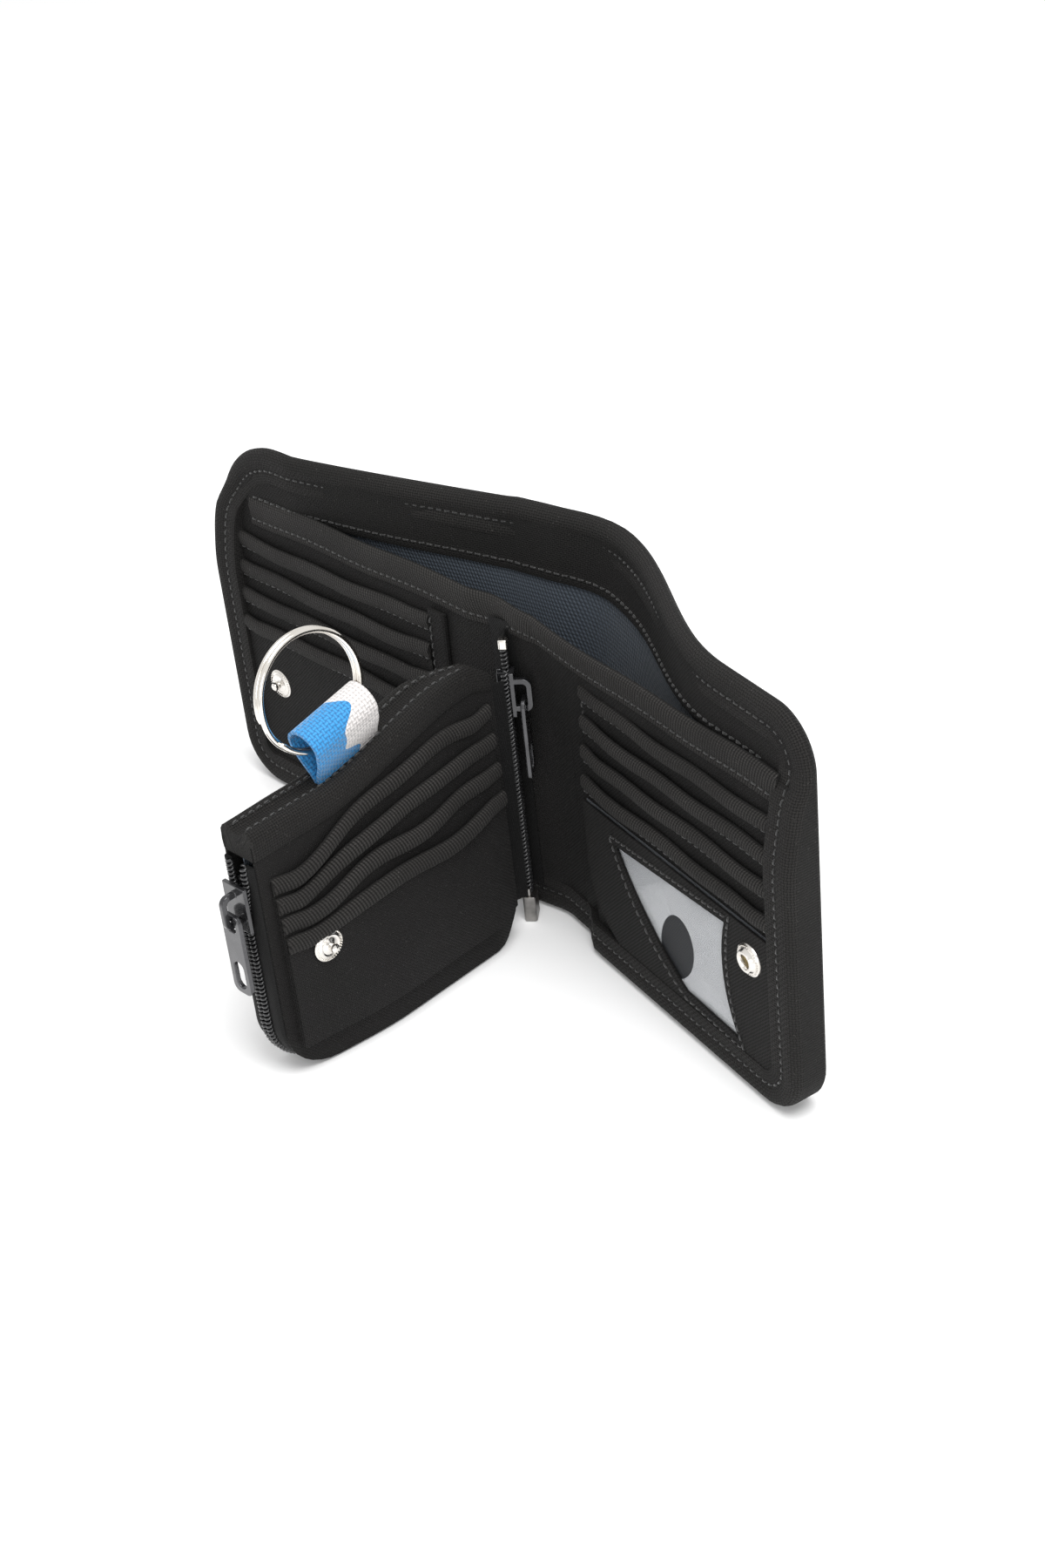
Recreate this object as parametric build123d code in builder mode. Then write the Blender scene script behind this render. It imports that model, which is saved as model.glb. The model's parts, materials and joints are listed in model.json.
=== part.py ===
from build123d import *
import os
from math import cos, radians, sin, tan

# Canvas wallet with a zip-on coin pouch, in millimetres, +Z up.
# The wallet stands open on its lower edge. The origin is on the floor under the middle
# of the spine, on the inner face. +X runs to the right-hand panel and -Y into the wallet.

# ---------------------------------------------------------------- driving dimensions
cover_height = 120.0        # floor to the top edge of the outer shell
panel_length = 115.0        # fold line to the outer edge of a cover panel
spine_width = 28.0          # between the two fold lines
left_bend = 9.4             # degrees that the left panel leans back past flat
right_bend = 21.3           # degrees that the right panel is folded in
left_open = 5.0             # degrees that the left panel can still open
right_open = 21.0           # degrees that the right panel can still open
corner_radius = 15.0        # outer corners of the cover

inner_height = 102.5        # top of the inner panels, under the bill opening
bow = 22.0                  # how far the shell's top stands off behind the spine
bow_start = 10.0            # height where the shell leaves the inner panels
bow_reach = 88.0            # this far out from a fold the shell meets its panel
bow_ease = 1.5              # over 1 the left side lands softly on its panel

canvas = 0.8                # heavy outer cloth
lining = 0.4                # nylon twill
board = 1.0                 # stiffening board in the cover
ply_gap = 0.2               # between sewn layers
body_gap = 0.3              # between pieces that move apart
fold_gap = 0.1              # from a fold line to the panel's own layers

binding_width = 11.0        # rolled edge binding, seen from the front
binding_wall = 0.8
binding_edge = 1.2          # cloth over the outer rim
hem_width = 9.5             # hem along the inner panels
facing_depth = 20.0         # canvas band inside the bill opening

pocket_inset = 16.0         # fold line to the near side of the card pockets
pocket_pitch = 9.3          # from one pocket lip to the next
first_lip = 13.1            # inner top edge down to the first lip
pocket_depth = 54.0         # lip to bottom stitch, for a bank card
pocket_cloth = 0.6
pocket_pile = 0.9           # each pocket lies this far in front of the last
lip_height = 3.2
lip_cloth = 1.1
pocket_count = 4
last_pocket_height = 7.6    # the right panel's lowest pocket ends above the window

snap_radius = 4.9
snap_x = 92.0               # fold line to the snap's middle
snap_z = 40.0
snap_plate = 0.8
post_radius = 1.4
post_height = 2.6
socket_height = 2.2
socket_bore = 1.9

axis_x = 3.6                # the hinge zip's pin line, where the pouch turns
axis_y = -7.0
pouch_turn = 7.1            # degrees that the pouch leans to the left
pouch_near = 4.5            # pin line to the pouch's sewn edge
pouch_far = 93.1            # pin line to the pouch's free edge
pouch_bottom = 2.6
pouch_top_near = 90.0       # top of the pouch at the spine
pouch_top_far = 80.5        # top of the pouch at its free end
pouch_depth = 12.4          # front to back
pouch_front = -0.5          # the front face lies this far behind the pin line
pouch_corner = 15.0
pouch_hem_height = 8.0
pouch_first_lip = (72.0, 62.0)
pouch_lip_pitch = (10.0, 7.1)
pouch_pocket_near = 8.0     # pin line to the near side of the pouch's pockets
pouch_pocket_rim = 3.5      # from their far side to the pouch's free edge

row_gap = 1.2               # between the two rows of a zip's coils
row_size = 2.0              # one row of coils
tape_cloth = 0.8
slider_length = 14.0
slider_plate = 1.2
slider_half = 4.4           # half the slider's width
neck = 0.7
bail_bar = 1.6
bail_reach = 4.8
pull_width = 7.4
pull_length = 26.0
pull_cloth = 1.4
pull_eye = 1.75             # half the eye's width
pull_rim = 1.9              # from the eye, or the slot, to the tab's end
pull_round = 2.4
pull_slot = 8.6             # slot at the tab's lower end
pull_slot_width = 3.8

pouch_slider_z = 51.0       # lower end of the slider on the pouch
hinge_slider_z = 70.0       # lower end of the slider on the hinge zip
hinge_zip_turn = 30.0       # degrees that the hinge zip is twisted to the right
box_height = 8.5            # retainer box at the foot of the hinge zip

ribbon_width = 22.5
ribbon_cloth = 1.2
ribbon_bore = 4.7           # radius of the loop that holds the ring
ribbon_at = 59.0            # pin line to the ribbon's middle
ribbon_tilt = 12.0          # degrees that the loop's axis climbs towards the spine
ribbon_neck = 5.0           # sewn foot to the middle of the loop
ring_radius = 17.0          # outside of the split ring
ring_wire = 1.8
ring_depth = 3.2            # two turns side by side

# ---------------------------------------------------------------- worked out from them
half_spine = spine_width / 2
fold_y = -1.6               # the fold lines run along the innermost cloth
inner_back = canvas
facing_at = inner_back + canvas + 2 * ply_gap
lining_at = facing_at + lining + ply_gap
board_at = lining_at + lining + ply_gap
cover_at = board_at + board + ply_gap
cover_out = cover_at + canvas
shell_out = cover_out + ply_gap + binding_wall
rim_in = 1.4                # the binding's inner face, in front of the inner panel
reach = 60.0                # longer than any bow, for cutting through

left_axis = Vector(cos(radians(left_bend)), -sin(radians(left_bend)), 0)
right_axis = Vector(cos(radians(right_bend)), -sin(radians(right_bend)), 0)
spine_axis = Vector(1, 0, 0)
pouch_axis = Vector(sin(radians(pouch_turn)), cos(radians(pouch_turn)), 0)
up = Vector(0, 0, 1)

os.makedirs("parts", exist_ok=True)


def save(piece, name):
    piece.part.label = name
    export_step(piece.part, f"parts/{name}.step")


def face_plane(origin, along):
    """Upright plane: x runs along the panel, y up, and z out of its inner face."""
    return Plane(origin=origin, x_dir=along, z_dir=along.cross(up))


def plan_plane(origin, along, z):
    """Level plane at height z: x runs along the panel and y out through its back."""
    return Plane(origin=(origin.X, origin.Y, z), x_dir=along, z_dir=up)


left_fold = Vector(-half_spine, 0, 0)
right_fold = Vector(half_spine, 0, 0)
left_face = face_plane(left_fold, left_axis)
right_face = face_plane(right_fold, right_axis)
spine_face = face_plane((0, 0, 0), spine_axis)


def bow_at(side, u):
    """Stand-off of the shell's top, u out from a fold: even on the left, S-shaped on the right."""
    t = min(max(u / bow_reach, 0), 1)
    return bow * ((1 - t) ** bow_ease if side < 0 else 1 - t * t * (3 - 2 * t))


def bow_share(z):
    return max(z - bow_start, 0) / (cover_height - bow_start)


def fold_clearance(out, z, opening, bend):
    """Room that the spine's edge leaves for a panel that opens from its bend at rest."""
    swing = -fold_y * sin(radians(opening))
    lean = sin(radians(max(bend + opening, 0))) * (out + bow * bow_share(z))
    return swing + lean + body_gap


bow_steps = 6
overhang = 3.0              # the uncut layers reach past the panel's outline


def shell_section(side, low, high, z):
    """Closed strip of one shell layer at height z, side -1 is left and +1 is right."""
    along = left_axis if side < 0 else right_axis
    fold = left_fold if side < 0 else right_fold
    share = bow_share(z)
    stations = [(panel_length + overhang) * i / bow_steps for i in range(bow_steps + 1)]
    inner = [(side * u, low + bow_at(side, u) * share) for u in stations]
    outer = [(side * u, high + bow_at(side, u) * share) for u in stations]
    with BuildSketch(plan_plane(fold, along, z)) as section:
        with BuildLine():
            Spline(*inner)
            Line(inner[-1], outer[-1])
            Spline(*outer)
            Line(outer[0], inner[0])
        make_face()
    return section.sketch


def shell_slab(side, low, high, mode=Mode.ADD):
    """One layer of the outer shell of a panel, leaning out from the floor to its top."""
    levels = (-overhang, bow_start, cover_height + overhang)
    loft([shell_section(side, low, high, z) for z in levels], ruled=True, mode=mode)


def panel_outline(side, near, rim, bottom, top):
    """Panel shape rim mm inside its edge, from the fold out, kept between two heights."""
    far = panel_length - rim
    with Locations((side * (near + far) / 2, cover_height / 2)):
        Rectangle(far - near, cover_height - 2 * rim)
    outer = vertices().sort_by(Axis.X)
    fillet(outer[:2] if side < 0 else outer[-2:], corner_radius - rim)
    with Locations((0, (bottom + top) / 2)):
        Rectangle(3 * panel_length, top - bottom, mode=Mode.INTERSECT)


def face_of(side):
    return left_face if side < 0 else right_face


def shell_layer(side, low, high, rim, bottom, top):
    """A shell layer trimmed to the panel's outline, rim mm inside its edge."""
    with BuildPart() as layer:
        with BuildSketch(face_of(side).offset(-reach)):
            panel_outline(side, fold_gap, rim, bottom, top)
        extrude(amount=2 * reach)
        shell_slab(side, low, high, Mode.INTERSECT)
    return layer


def panel_binding(side):
    """Rolled binding: a channel round the panel's free edges, open at the fold."""
    face = face_of(side)
    wall_at = facing_at - ply_gap - binding_wall
    with BuildPart() as slot:
        with BuildSketch(face.offset(-reach)):
            panel_outline(side, -1, binding_edge, 0, cover_height)
        extrude(amount=2 * reach)
        shell_slab(side, facing_at - ply_gap, cover_out + ply_gap, Mode.INTERSECT)
        with BuildSketch(face.offset(-facing_at)):
            panel_outline(side, -1, binding_edge, 0, inner_height)
        extrude(amount=facing_at + ply_gap)
    with BuildPart() as binding:
        with BuildSketch(face.offset(-reach)):
            panel_outline(side, fold_gap, 0, 0, cover_height)
        extrude(amount=2 * reach)
        shell_slab(side, wall_at, shell_out, Mode.INTERSECT)
        with BuildSketch(face.offset(-facing_at)):
            panel_outline(side, fold_gap, 0, 0, inner_height)
        extrude(amount=facing_at + rim_in)
        with BuildSketch(face.offset(-reach)):
            panel_outline(side, -1, binding_width, 0, cover_height)
        extrude(amount=2 * reach, mode=Mode.SUBTRACT)
        add(slot.part, mode=Mode.SUBTRACT)
        add(binding.solids().sort_by(SortBy.VOLUME)[-1], mode=Mode.REPLACE)
    return binding


def flat_sheet(face, front, thickness, x0, x1, z0, z1):
    """Flat piece of cloth on a panel; front is the distance of its back from the panel."""
    with BuildPart() as sheet:
        with BuildSketch(face.offset(front)):
            with Locations(((x0 + x1) / 2, (z0 + z1) / 2)):
                Rectangle(abs(x1 - x0), z1 - z0)
        extrude(amount=thickness)
    return sheet


def card_pocket(face, x0, x1, lip, bottom, front):
    """A card pocket: a cloth front with a folded lip along its upper edge."""
    with BuildPart() as pocket:
        with BuildSketch(face.offset(front)):
            with Locations(((x0 + x1) / 2, (lip + bottom) / 2)):
                Rectangle(abs(x1 - x0), lip - bottom)
        extrude(amount=pocket_cloth)
        with BuildSketch(face.offset(front)):
            with Locations(((x0 + x1) / 2, lip - lip_height / 2)):
                Rectangle(abs(x1 - x0), lip_height)
        extrude(amount=lip_cloth)
    return pocket


def snap_stud(face, front, x, z):
    """Snap stud: a pressed plate with a round-headed post."""
    with BuildPart() as stud:
        with BuildSketch(face.offset(front)):
            with Locations((x, z)):
                Circle(snap_radius)
        extrude(amount=snap_plate)
        with BuildSketch(face.offset(front + snap_plate)):
            with Locations((x, z)):
                Circle(post_radius)
        extrude(amount=post_height)
        rims = stud.faces().sort_by(Axis(face.origin, face.z_dir))[-1].edges()
        fillet(rims, post_radius * 0.5)
    return stud


def snap_socket(face, front, x, z):
    """Snap socket: a flange and a rounded cup with the hole for the post."""
    with BuildPart() as socket:
        with BuildSketch(face.offset(front)):
            with Locations((x, z)):
                Circle(snap_radius)
        extrude(amount=socket_height)
        rims = socket.faces().sort_by(Axis(face.origin, face.z_dir))[-1].edges()
        fillet(rims, socket_height * 0.45)
        with BuildSketch(face.offset(front)):
            with Locations((x, z)):
                Circle(socket_bore)
        extrude(amount=socket_height, mode=Mode.SUBTRACT)
    return socket


# ---------------------------------------------------------------- the two cover panels
lips = [inner_height - first_lip - pocket_pitch * i for i in range(pocket_count)]
skin_gap = 0.1              # between flat pieces of one stack
stack_front = ply_gap + skin_gap
pocket_far = panel_length - binding_width - body_gap
stack_floor = binding_width + body_gap

for side, name in ((-1, "left"), (1, "right")):
    face = face_of(side)
    sew = binding_edge + ply_gap
    shell_top = cover_height - sew
    save(shell_layer(side, cover_at, cover_out, sew, sew, shell_top), f"{name}_cover")
    save(shell_layer(side, board_at, board_at + board, sew, sew, shell_top), f"{name}_stiffener")
    save(shell_layer(side, lining_at, lining_at + lining, sew, sew, shell_top), f"{name}_lining")
    facing_foot = cover_height - facing_depth
    facing = shell_layer(side, facing_at, facing_at + lining, sew, facing_foot, shell_top)
    save(facing, f"{name}_facing")
    save(panel_binding(side), f"{name}_binding")

    with BuildPart() as inner_panel:
        with BuildSketch(face.offset(-inner_back)):
            panel_outline(side, fold_gap, sew, sew, inner_height - sew)
        extrude(amount=canvas)
    save(inner_panel, f"{name}_inner_panel")

    with BuildPart() as hem:
        hem_far = panel_length - binding_width - body_gap
        with BuildSketch(face.offset(-inner_back - ply_gap - canvas)):
            with Locations((side * (fold_gap + hem_far) / 2, inner_height - hem_width / 2)):
                Rectangle(hem_far - fold_gap, hem_width)
        extrude(amount=inner_back + 2 * ply_gap + 2 * canvas)
        with BuildSketch(face.offset(-inner_back - ply_gap)):
            with Locations((side * hem_far / 2, inner_height - sew - hem_width / 2)):
                Rectangle(hem_far + 2, hem_width + 2 * ply_gap)
        extrude(amount=inner_back + 2 * ply_gap, mode=Mode.SUBTRACT)
    save(hem, f"{name}_hem")

    for i, lip in enumerate(lips):
        foot = max(lip - pocket_depth, stack_floor)
        if side > 0 and i == pocket_count - 1:
            foot = lip - last_pocket_height
        front = stack_front + pocket_pile * i
        pocket = card_pocket(face, side * pocket_inset, side * pocket_far, lip, foot, front)
        save(pocket, f"{name}_pocket_{i + 1}")

stack_top = stack_front + pocket_pile * (pocket_count - 1) + pocket_cloth

# A folded strip of canvas hides the near side of the left card stack.
strip_width = 7.0
strip_x = -pocket_inset + body_gap
strip_top = lips[0] + 2
strip = flat_sheet(
    left_face, stack_front, lip_cloth, strip_x, strip_x + strip_width, stack_floor, strip_top
)
save(strip, "left_fold_strip")

left_stud = snap_stud(left_face, stack_top + skin_gap, -snap_x, snap_z)
save(left_stud, "left_snap_stud")

# ---------------------------------------------------------------- identity window, right
id_backing_at = stack_top - pocket_cloth - skin_gap
id_film_at = id_backing_at + lining + skin_gap
id_film_cloth = 0.3
id_frame_at = id_film_at + id_film_cloth + skin_gap
id_top = lips[-1] - last_pocket_height - body_gap
id_round = 22.0             # the frame's lower corner, by the fold
window_left = 28.5
window_top = 45.0
window_right = 81.0
window_low = 13.5
window_flare = 4.0          # the right side spreads by this at its foot
window_waist = 1.5          # and pulls in by this half way up
window_middle = 30.0
window_sweep = 31.0         # how far the curved lower side reaches along the bottom
notch_turn = -40
notch_width = 8.5
notch_height = 7.5
notch_at = (54.0, 19.5)


def id_outline():
    """Frame shape: square above, with a big round at its lower corner by the fold."""
    with Locations(((pocket_inset + pocket_far) / 2, (stack_floor + id_top) / 2)):
        Rectangle(pocket_far - pocket_inset, id_top - stack_floor)
    corner = vertices().group_by(Axis.Y)[0].sort_by(Axis.X)[0]
    fillet(corner, id_round)


def window_outline(grow):
    """Window shape: its lower left side is one long curve down to the bottom edge."""
    with BuildLine() as edge:
        top = Line((window_left - grow, window_top + grow), (window_right + grow, window_top + grow))
        foot = (window_right + window_flare + grow, window_low - grow)
        ThreePointArc(top @ 1, (window_right - window_waist + grow, window_middle), foot)
        start = (window_left + window_sweep, window_low + 1 - grow)
        Line(foot, start)
        curve = (window_left + window_sweep * 0.42 - grow, window_middle - 1 - grow)
        ThreePointArc(start, curve, top @ 0)
    make_face(edge.edges())


with BuildPart() as id_window_frame:
    with BuildSketch(right_face.offset(id_frame_at)):
        id_outline()
    extrude(amount=pocket_cloth)
    with BuildSketch(right_face.offset(id_frame_at)):
        window_outline(0)
    extrude(amount=pocket_cloth, mode=Mode.SUBTRACT)
save(id_window_frame, "id_window_frame")

film_grow = 1.6             # the film's sewn margin under the frame
with BuildPart() as id_window_film:
    with BuildSketch(right_face.offset(id_film_at)):
        window_outline(film_grow)
    extrude(amount=id_film_cloth)
    with BuildSketch(right_face.offset(id_film_at)):
        with Locations(notch_at):
            Ellipse(notch_width, notch_height, rotation=notch_turn)
    extrude(amount=id_film_cloth, mode=Mode.SUBTRACT)
save(id_window_film, "id_window_film")

with BuildPart() as id_window_backing:
    with BuildSketch(right_face.offset(id_backing_at)):
        id_outline()
    extrude(amount=lining)
save(id_window_backing, "id_window_backing")

right_socket = snap_socket(right_face, id_frame_at + pocket_cloth + skin_gap, snap_x, snap_z)
save(right_socket, "right_snap_socket")


# ---------------------------------------------------------------- spine
def spine_slab(low, high, bottom, top):
    """One layer of the spine's shell, narrowed so that both panels can open further."""
    sections = []
    for z in sorted({bottom, max(bottom, bow_start), top}):
        shift = bow * bow_share(z)
        x0 = -half_spine + fold_clearance(shell_out, z, left_open, left_bend)
        x1 = half_spine - fold_clearance(shell_out, z, right_open, -right_bend)
        with BuildSketch(Plane.XY.offset(z)) as section:
            with Locations(((x0 + x1) / 2, (low + high) / 2 + shift)):
                Rectangle(x1 - x0, high - low)
        sections.append(section.sketch)
    loft(sections, ruled=True)


spine_sew = binding_edge + ply_gap
spine_top = cover_height - binding_edge - ply_gap

with BuildPart() as spine_cover:
    spine_slab(cover_at, cover_out, spine_sew, spine_top)
save(spine_cover, "spine_cover")

with BuildPart() as spine_lining:
    spine_slab(lining_at, lining_at + lining, spine_sew, spine_top)
save(spine_lining, "spine_lining")

with BuildPart() as spine_top_slot:
    spine_slab(facing_at, cover_out + ply_gap, 0, cover_height - binding_edge)

with BuildPart() as spine_top_binding:
    spine_slab(facing_at - binding_wall, shell_out, cover_height - binding_width, cover_height)
    add(spine_top_slot.part, mode=Mode.SUBTRACT)
save(spine_top_binding, "spine_top_binding")

inner_x0 = -half_spine + fold_clearance(inner_back + canvas, 0, left_open, left_bend)
inner_x1 = half_spine - fold_clearance(inner_back + canvas, 0, right_open, -right_bend)
spine_foot = 6.0            # height of the thin binding under the spine

with BuildPart() as spine_bottom_binding:
    shell_x0 = -half_spine + fold_clearance(shell_out, 0, left_open, left_bend)
    shell_x1 = half_spine - fold_clearance(shell_out, 0, right_open, -right_bend)
    with BuildSketch(spine_face.offset(-shell_out)):
        with Locations(((shell_x0 + shell_x1) / 2, spine_foot / 2)):
            Rectangle(shell_x1 - shell_x0, spine_foot)
    extrude(amount=shell_out + canvas)
    with BuildSketch(spine_face.offset(-cover_out - ply_gap)):
        with Locations((0, binding_edge + spine_foot / 2)):
            Rectangle(spine_width, spine_foot)
    extrude(amount=cover_out + 2 * ply_gap, mode=Mode.SUBTRACT)
save(spine_bottom_binding, "spine_bottom_binding")

inner_top = inner_height - binding_edge - ply_gap
spine_inner = flat_sheet(spine_face, -inner_back, canvas, inner_x0, inner_x1, spine_sew, inner_top)
save(spine_inner, "spine_inner_panel")

with BuildPart() as spine_hem:
    with BuildSketch(spine_face.offset(-inner_back - ply_gap - canvas)):
        with Locations(((inner_x0 + inner_x1) / 2, inner_height - hem_width / 2)):
            Rectangle(inner_x1 - inner_x0, hem_width)
    extrude(amount=inner_back + 2 * ply_gap + 2 * canvas)
    with BuildSketch(spine_face.offset(-inner_back - ply_gap)):
        with Locations((0, inner_top - hem_width / 2 + ply_gap / 2)):
            Rectangle(spine_width, hem_width + ply_gap)
    extrude(amount=inner_back + 2 * ply_gap, mode=Mode.SUBTRACT)
save(spine_hem, "spine_hem")

# ---------------------------------------------------------------- hinge zip on the spine
# The zip's rows stand side by side, from the spine row to the pin line of the pouch row.
row_pitch = row_size + row_gap
zip_dir = Vector(sin(radians(hinge_zip_turn)), -cos(radians(hinge_zip_turn)), 0)
zip_out = Vector(cos(radians(hinge_zip_turn)), sin(radians(hinge_zip_turn)), 0)
pin_line = Vector(axis_x, axis_y, 0)
spine_row = pin_line - zip_dir * row_pitch


def zip_plan(z):
    """Level plane on the pin line: x runs away from the spine, y to the zip's left."""
    return Plane(origin=pin_line + up * z, x_dir=zip_dir, z_dir=up)


chain_low = box_height + body_gap
chain_high = 90.0

with BuildPart() as hinge_chain_spine:
    with BuildSketch(zip_plan(chain_low)):
        with Locations((-row_pitch, 0)):
            Circle(row_size / 2)
    extrude(amount=chain_high - chain_low)
save(hinge_chain_spine, "hinge_chain_spine")

# The tape lies flat on the spine, with a fin that stands out to the coils.
tape_wide = 9.0
tape_thin = 0.4
coil_gap = 0.15             # between a row of coils and its tape
fin_root = (-axis_y - ply_gap - tape_thin / 2) / -zip_dir.Y
fin_tip = row_pitch + row_size / 2 + coil_gap
tape_middle = (pin_line - zip_dir * fin_root).X

with BuildPart() as hinge_tape_spine:
    with BuildSketch(Plane.XY.offset(chain_low)):
        with Locations((tape_middle, -ply_gap - tape_thin / 2)):
            Rectangle(tape_wide, tape_thin)
    extrude(amount=inner_height - hem_width - body_gap - chain_low)
    with BuildSketch(zip_plan(chain_low)):
        with Locations((-(fin_root + fin_tip) / 2, 0)):
            Rectangle(fin_root - fin_tip, tape_thin)
    extrude(amount=chain_high - chain_low)
save(hinge_tape_spine, "hinge_tape_spine")

stop_height = 3.2
with BuildPart() as hinge_top_stop:
    with BuildSketch(zip_plan(chain_high + ply_gap)):
        with Locations((-row_pitch, 0)):
            RectangleRounded(2.8, 2.6, 0.6)
    extrude(amount=stop_height - ply_gap)
save(hinge_top_stop, "hinge_top_stop")

pin_radius = 0.8
pin_clearance = 0.08
box_wall = 1.6
box_floor = 1.2
box_root = (-axis_y - canvas - ply_gap) / -zip_dir.Y
with BuildPart() as hinge_retainer_box:
    with BuildSketch(zip_plan(0)):
        with Locations((-row_pitch / 2, 0)):
            RectangleRounded(row_pitch + 2 * box_wall, 2 * box_wall + 0.6, 0.7)
        with Locations((-(box_root + row_pitch) / 2, 0)):
            Rectangle(box_root - row_pitch, 2 * tape_thin)
    extrude(amount=box_height)
    with BuildSketch(zip_plan(box_floor)):
        Circle(pin_radius + pin_clearance)
    extrude(amount=box_height, mode=Mode.SUBTRACT)
save(hinge_retainer_box, "hinge_retainer_box")

# ---------------------------------------------------------------- hinge zip slider, pull
# The slider is open to the pouch side, so that the pouch's tape can swing past it.
near_end = -row_pitch - 0.6     # the wings' end by the spine, from the pin line
front_end = 0.6             # how far past the pin line the front wing reaches
rear_end = -row_pitch + 1.0
arch_height = 10.4
arch_wide = bail_reach + bail_bar


def arched_bail(plane, x):
    """Bail: an arch that stands on the slider's outer wing; plane is upright, through it."""
    with BuildSketch(plane.offset(-bail_bar / 2)) as arch:
        with Locations((x + bail_reach - arch_wide / 2, slider_length / 2)):
            RectangleRounded(arch_wide, arch_height, bail_bar * 1.5)
        with Locations((x + bail_reach - arch_wide / 2 - bail_bar / 2, slider_length / 2)):
            hole_height = arch_height - 2 * bail_bar
            RectangleRounded(arch_wide - bail_bar, hole_height, bail_bar * 0.75, mode=Mode.SUBTRACT)
        with Locations((x - slider_length / 2, slider_length / 2)):
            Rectangle(slider_length, 2 * slider_length, mode=Mode.SUBTRACT)
    extrude(arch.sketch, amount=bail_bar)


def slider_wing(plane_at, width_low, width_high, offset, z):
    """One wing of a slider, as a level rounded bar pulled up to its length."""
    with BuildSketch(plane_at(z)) as wing:
        with Locations(((width_low + width_high) / 2, offset)):
            Rectangle(width_high - width_low, slider_plate)
    extrude(wing.sketch, amount=slider_length)


wing_at = row_size / 2 + body_gap + slider_plate / 2
wing_out = wing_at + slider_plate / 2
bail_set = 0.2              # the bail stands this far on the spine's side of the pin line
bail_face = Plane(
    origin=pin_line - zip_dir * bail_set + up * hinge_slider_z, x_dir=zip_out, z_dir=zip_dir
)

with BuildPart() as hinge_slider:
    slider_wing(zip_plan, near_end, front_end, wing_at, hinge_slider_z)
    slider_wing(zip_plan, near_end, rear_end, -wing_at, hinge_slider_z)
    with BuildSketch(zip_plan(hinge_slider_z + slider_length * 0.55)):
        with Locations((-row_pitch / 2, 0)):
            Rectangle(neck, 2 * wing_at + slider_plate)
    extrude(amount=slider_length * 0.4)
    arched_bail(bail_face, wing_out)
save(hinge_slider, "hinge_slider")


def pull_tab(face, eye_z, front):
    """Flat pull tab that hangs from its eye; face looks straight at it."""
    tab_top = eye_z + pull_eye + pull_rim
    tab_mid = tab_top - pull_length / 2
    with BuildPart() as tab:
        with BuildSketch(face.offset(front)):
            with Locations((0, tab_mid)):
                RectangleRounded(pull_width, pull_length, pull_round)
            with Locations((0, eye_z)):
                RectangleRounded(2 * pull_eye, 2 * pull_eye, 1.0, mode=Mode.SUBTRACT)
            with Locations((0, tab_top - pull_length + pull_rim + pull_slot / 2)):
                SlotOverall(pull_slot, pull_slot_width, rotation=90, mode=Mode.SUBTRACT)
        extrude(amount=pull_cloth)
    return tab


leg_z = (slider_length - arch_height + bail_bar) / 2
hinge_pull_face = Plane(origin=pin_line - zip_dir * bail_set, x_dir=-zip_dir, z_dir=zip_out)
tab_out = wing_out + 1.5    # the tab hangs this far from the zip's middle
hinge_pull = pull_tab(hinge_pull_face, hinge_slider_z + leg_z, tab_out)
save(hinge_pull, "hinge_puller")

# ---------------------------------------------------------------- coin pouch
# The pouch's face plane passes through the pin line; its x runs back to the spine.
pouch_face = face_plane(pin_line, pouch_axis)
pouch_length = pouch_far - pouch_near
back_at = pouch_front - pouch_depth
top_slope = (pouch_top_near - pouch_top_far) / pouch_length


def pouch_top(u):
    return pouch_top_near - (u - pouch_near) * top_slope


def pouch_plan(z):
    """Level plane on the pin line: x back to the spine, y out through the back face."""
    return plan_plane(pin_line, pouch_axis, z)


def pouch_trim(drop):
    """Cut to the pouch's sloping top, drop mm under it, and its round lower corner."""
    with BuildSketch(pouch_face.offset(-reach)) as shape:
        with BuildLine():
            far = -pouch_far
            Polyline(
                (far, pouch_bottom),
                (far, pouch_top(pouch_far) - drop),
                (0, pouch_top(0) - drop),
                (0, pouch_bottom),
                close=True,
            )
        make_face()
        fillet(vertices().group_by(Axis.X)[0].sort_by(Axis.Y)[0], pouch_corner)
    extrude(shape.sketch, amount=2 * reach, mode=Mode.INTERSECT)


waist_u = 9.0               # the pouch is sewn flat up to here, then opens out
full_u = 24.0               # full thickness from here on
waist = 3.0                 # thickness of the flat part
slant_shift = 0.4           # keeps the slanting wall as thick as the rest
hem_drop = pouch_hem_height + ply_gap


def back_strip(shift, thickness, near, far):
    """Plan of the back layers: flat by the zip, slanting out, then full thickness."""
    deep = pouch_depth - shift
    with BuildLine() as plan:
        Polyline(
            (-near, waist - thickness),
            (-waist_u, waist - thickness),
            (-full_u, deep - thickness),
            (-far, deep - thickness),
            (-far, deep),
            (-full_u + slant_shift, deep),
            (-waist_u + slant_shift, waist),
            (-near, waist),
            close=True,
        )
    make_face(plan.edges())


with BuildPart() as pouch_back:
    with BuildSketch(pouch_plan(0)):
        back_strip(-pouch_front, canvas, pouch_near, pouch_far)
    extrude(amount=cover_height)
    pouch_trim(hem_drop)
save(pouch_back, "pouch_back")

with BuildPart() as pouch_front_panel:
    with BuildSketch(pouch_face.offset(pouch_front - canvas)):
        with Locations((-(pouch_near + pouch_far) / 2, cover_height / 2)):
            Rectangle(pouch_length, cover_height)
    extrude(amount=canvas)
    pouch_trim(hem_drop)
save(pouch_front_panel, "pouch_front")

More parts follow.
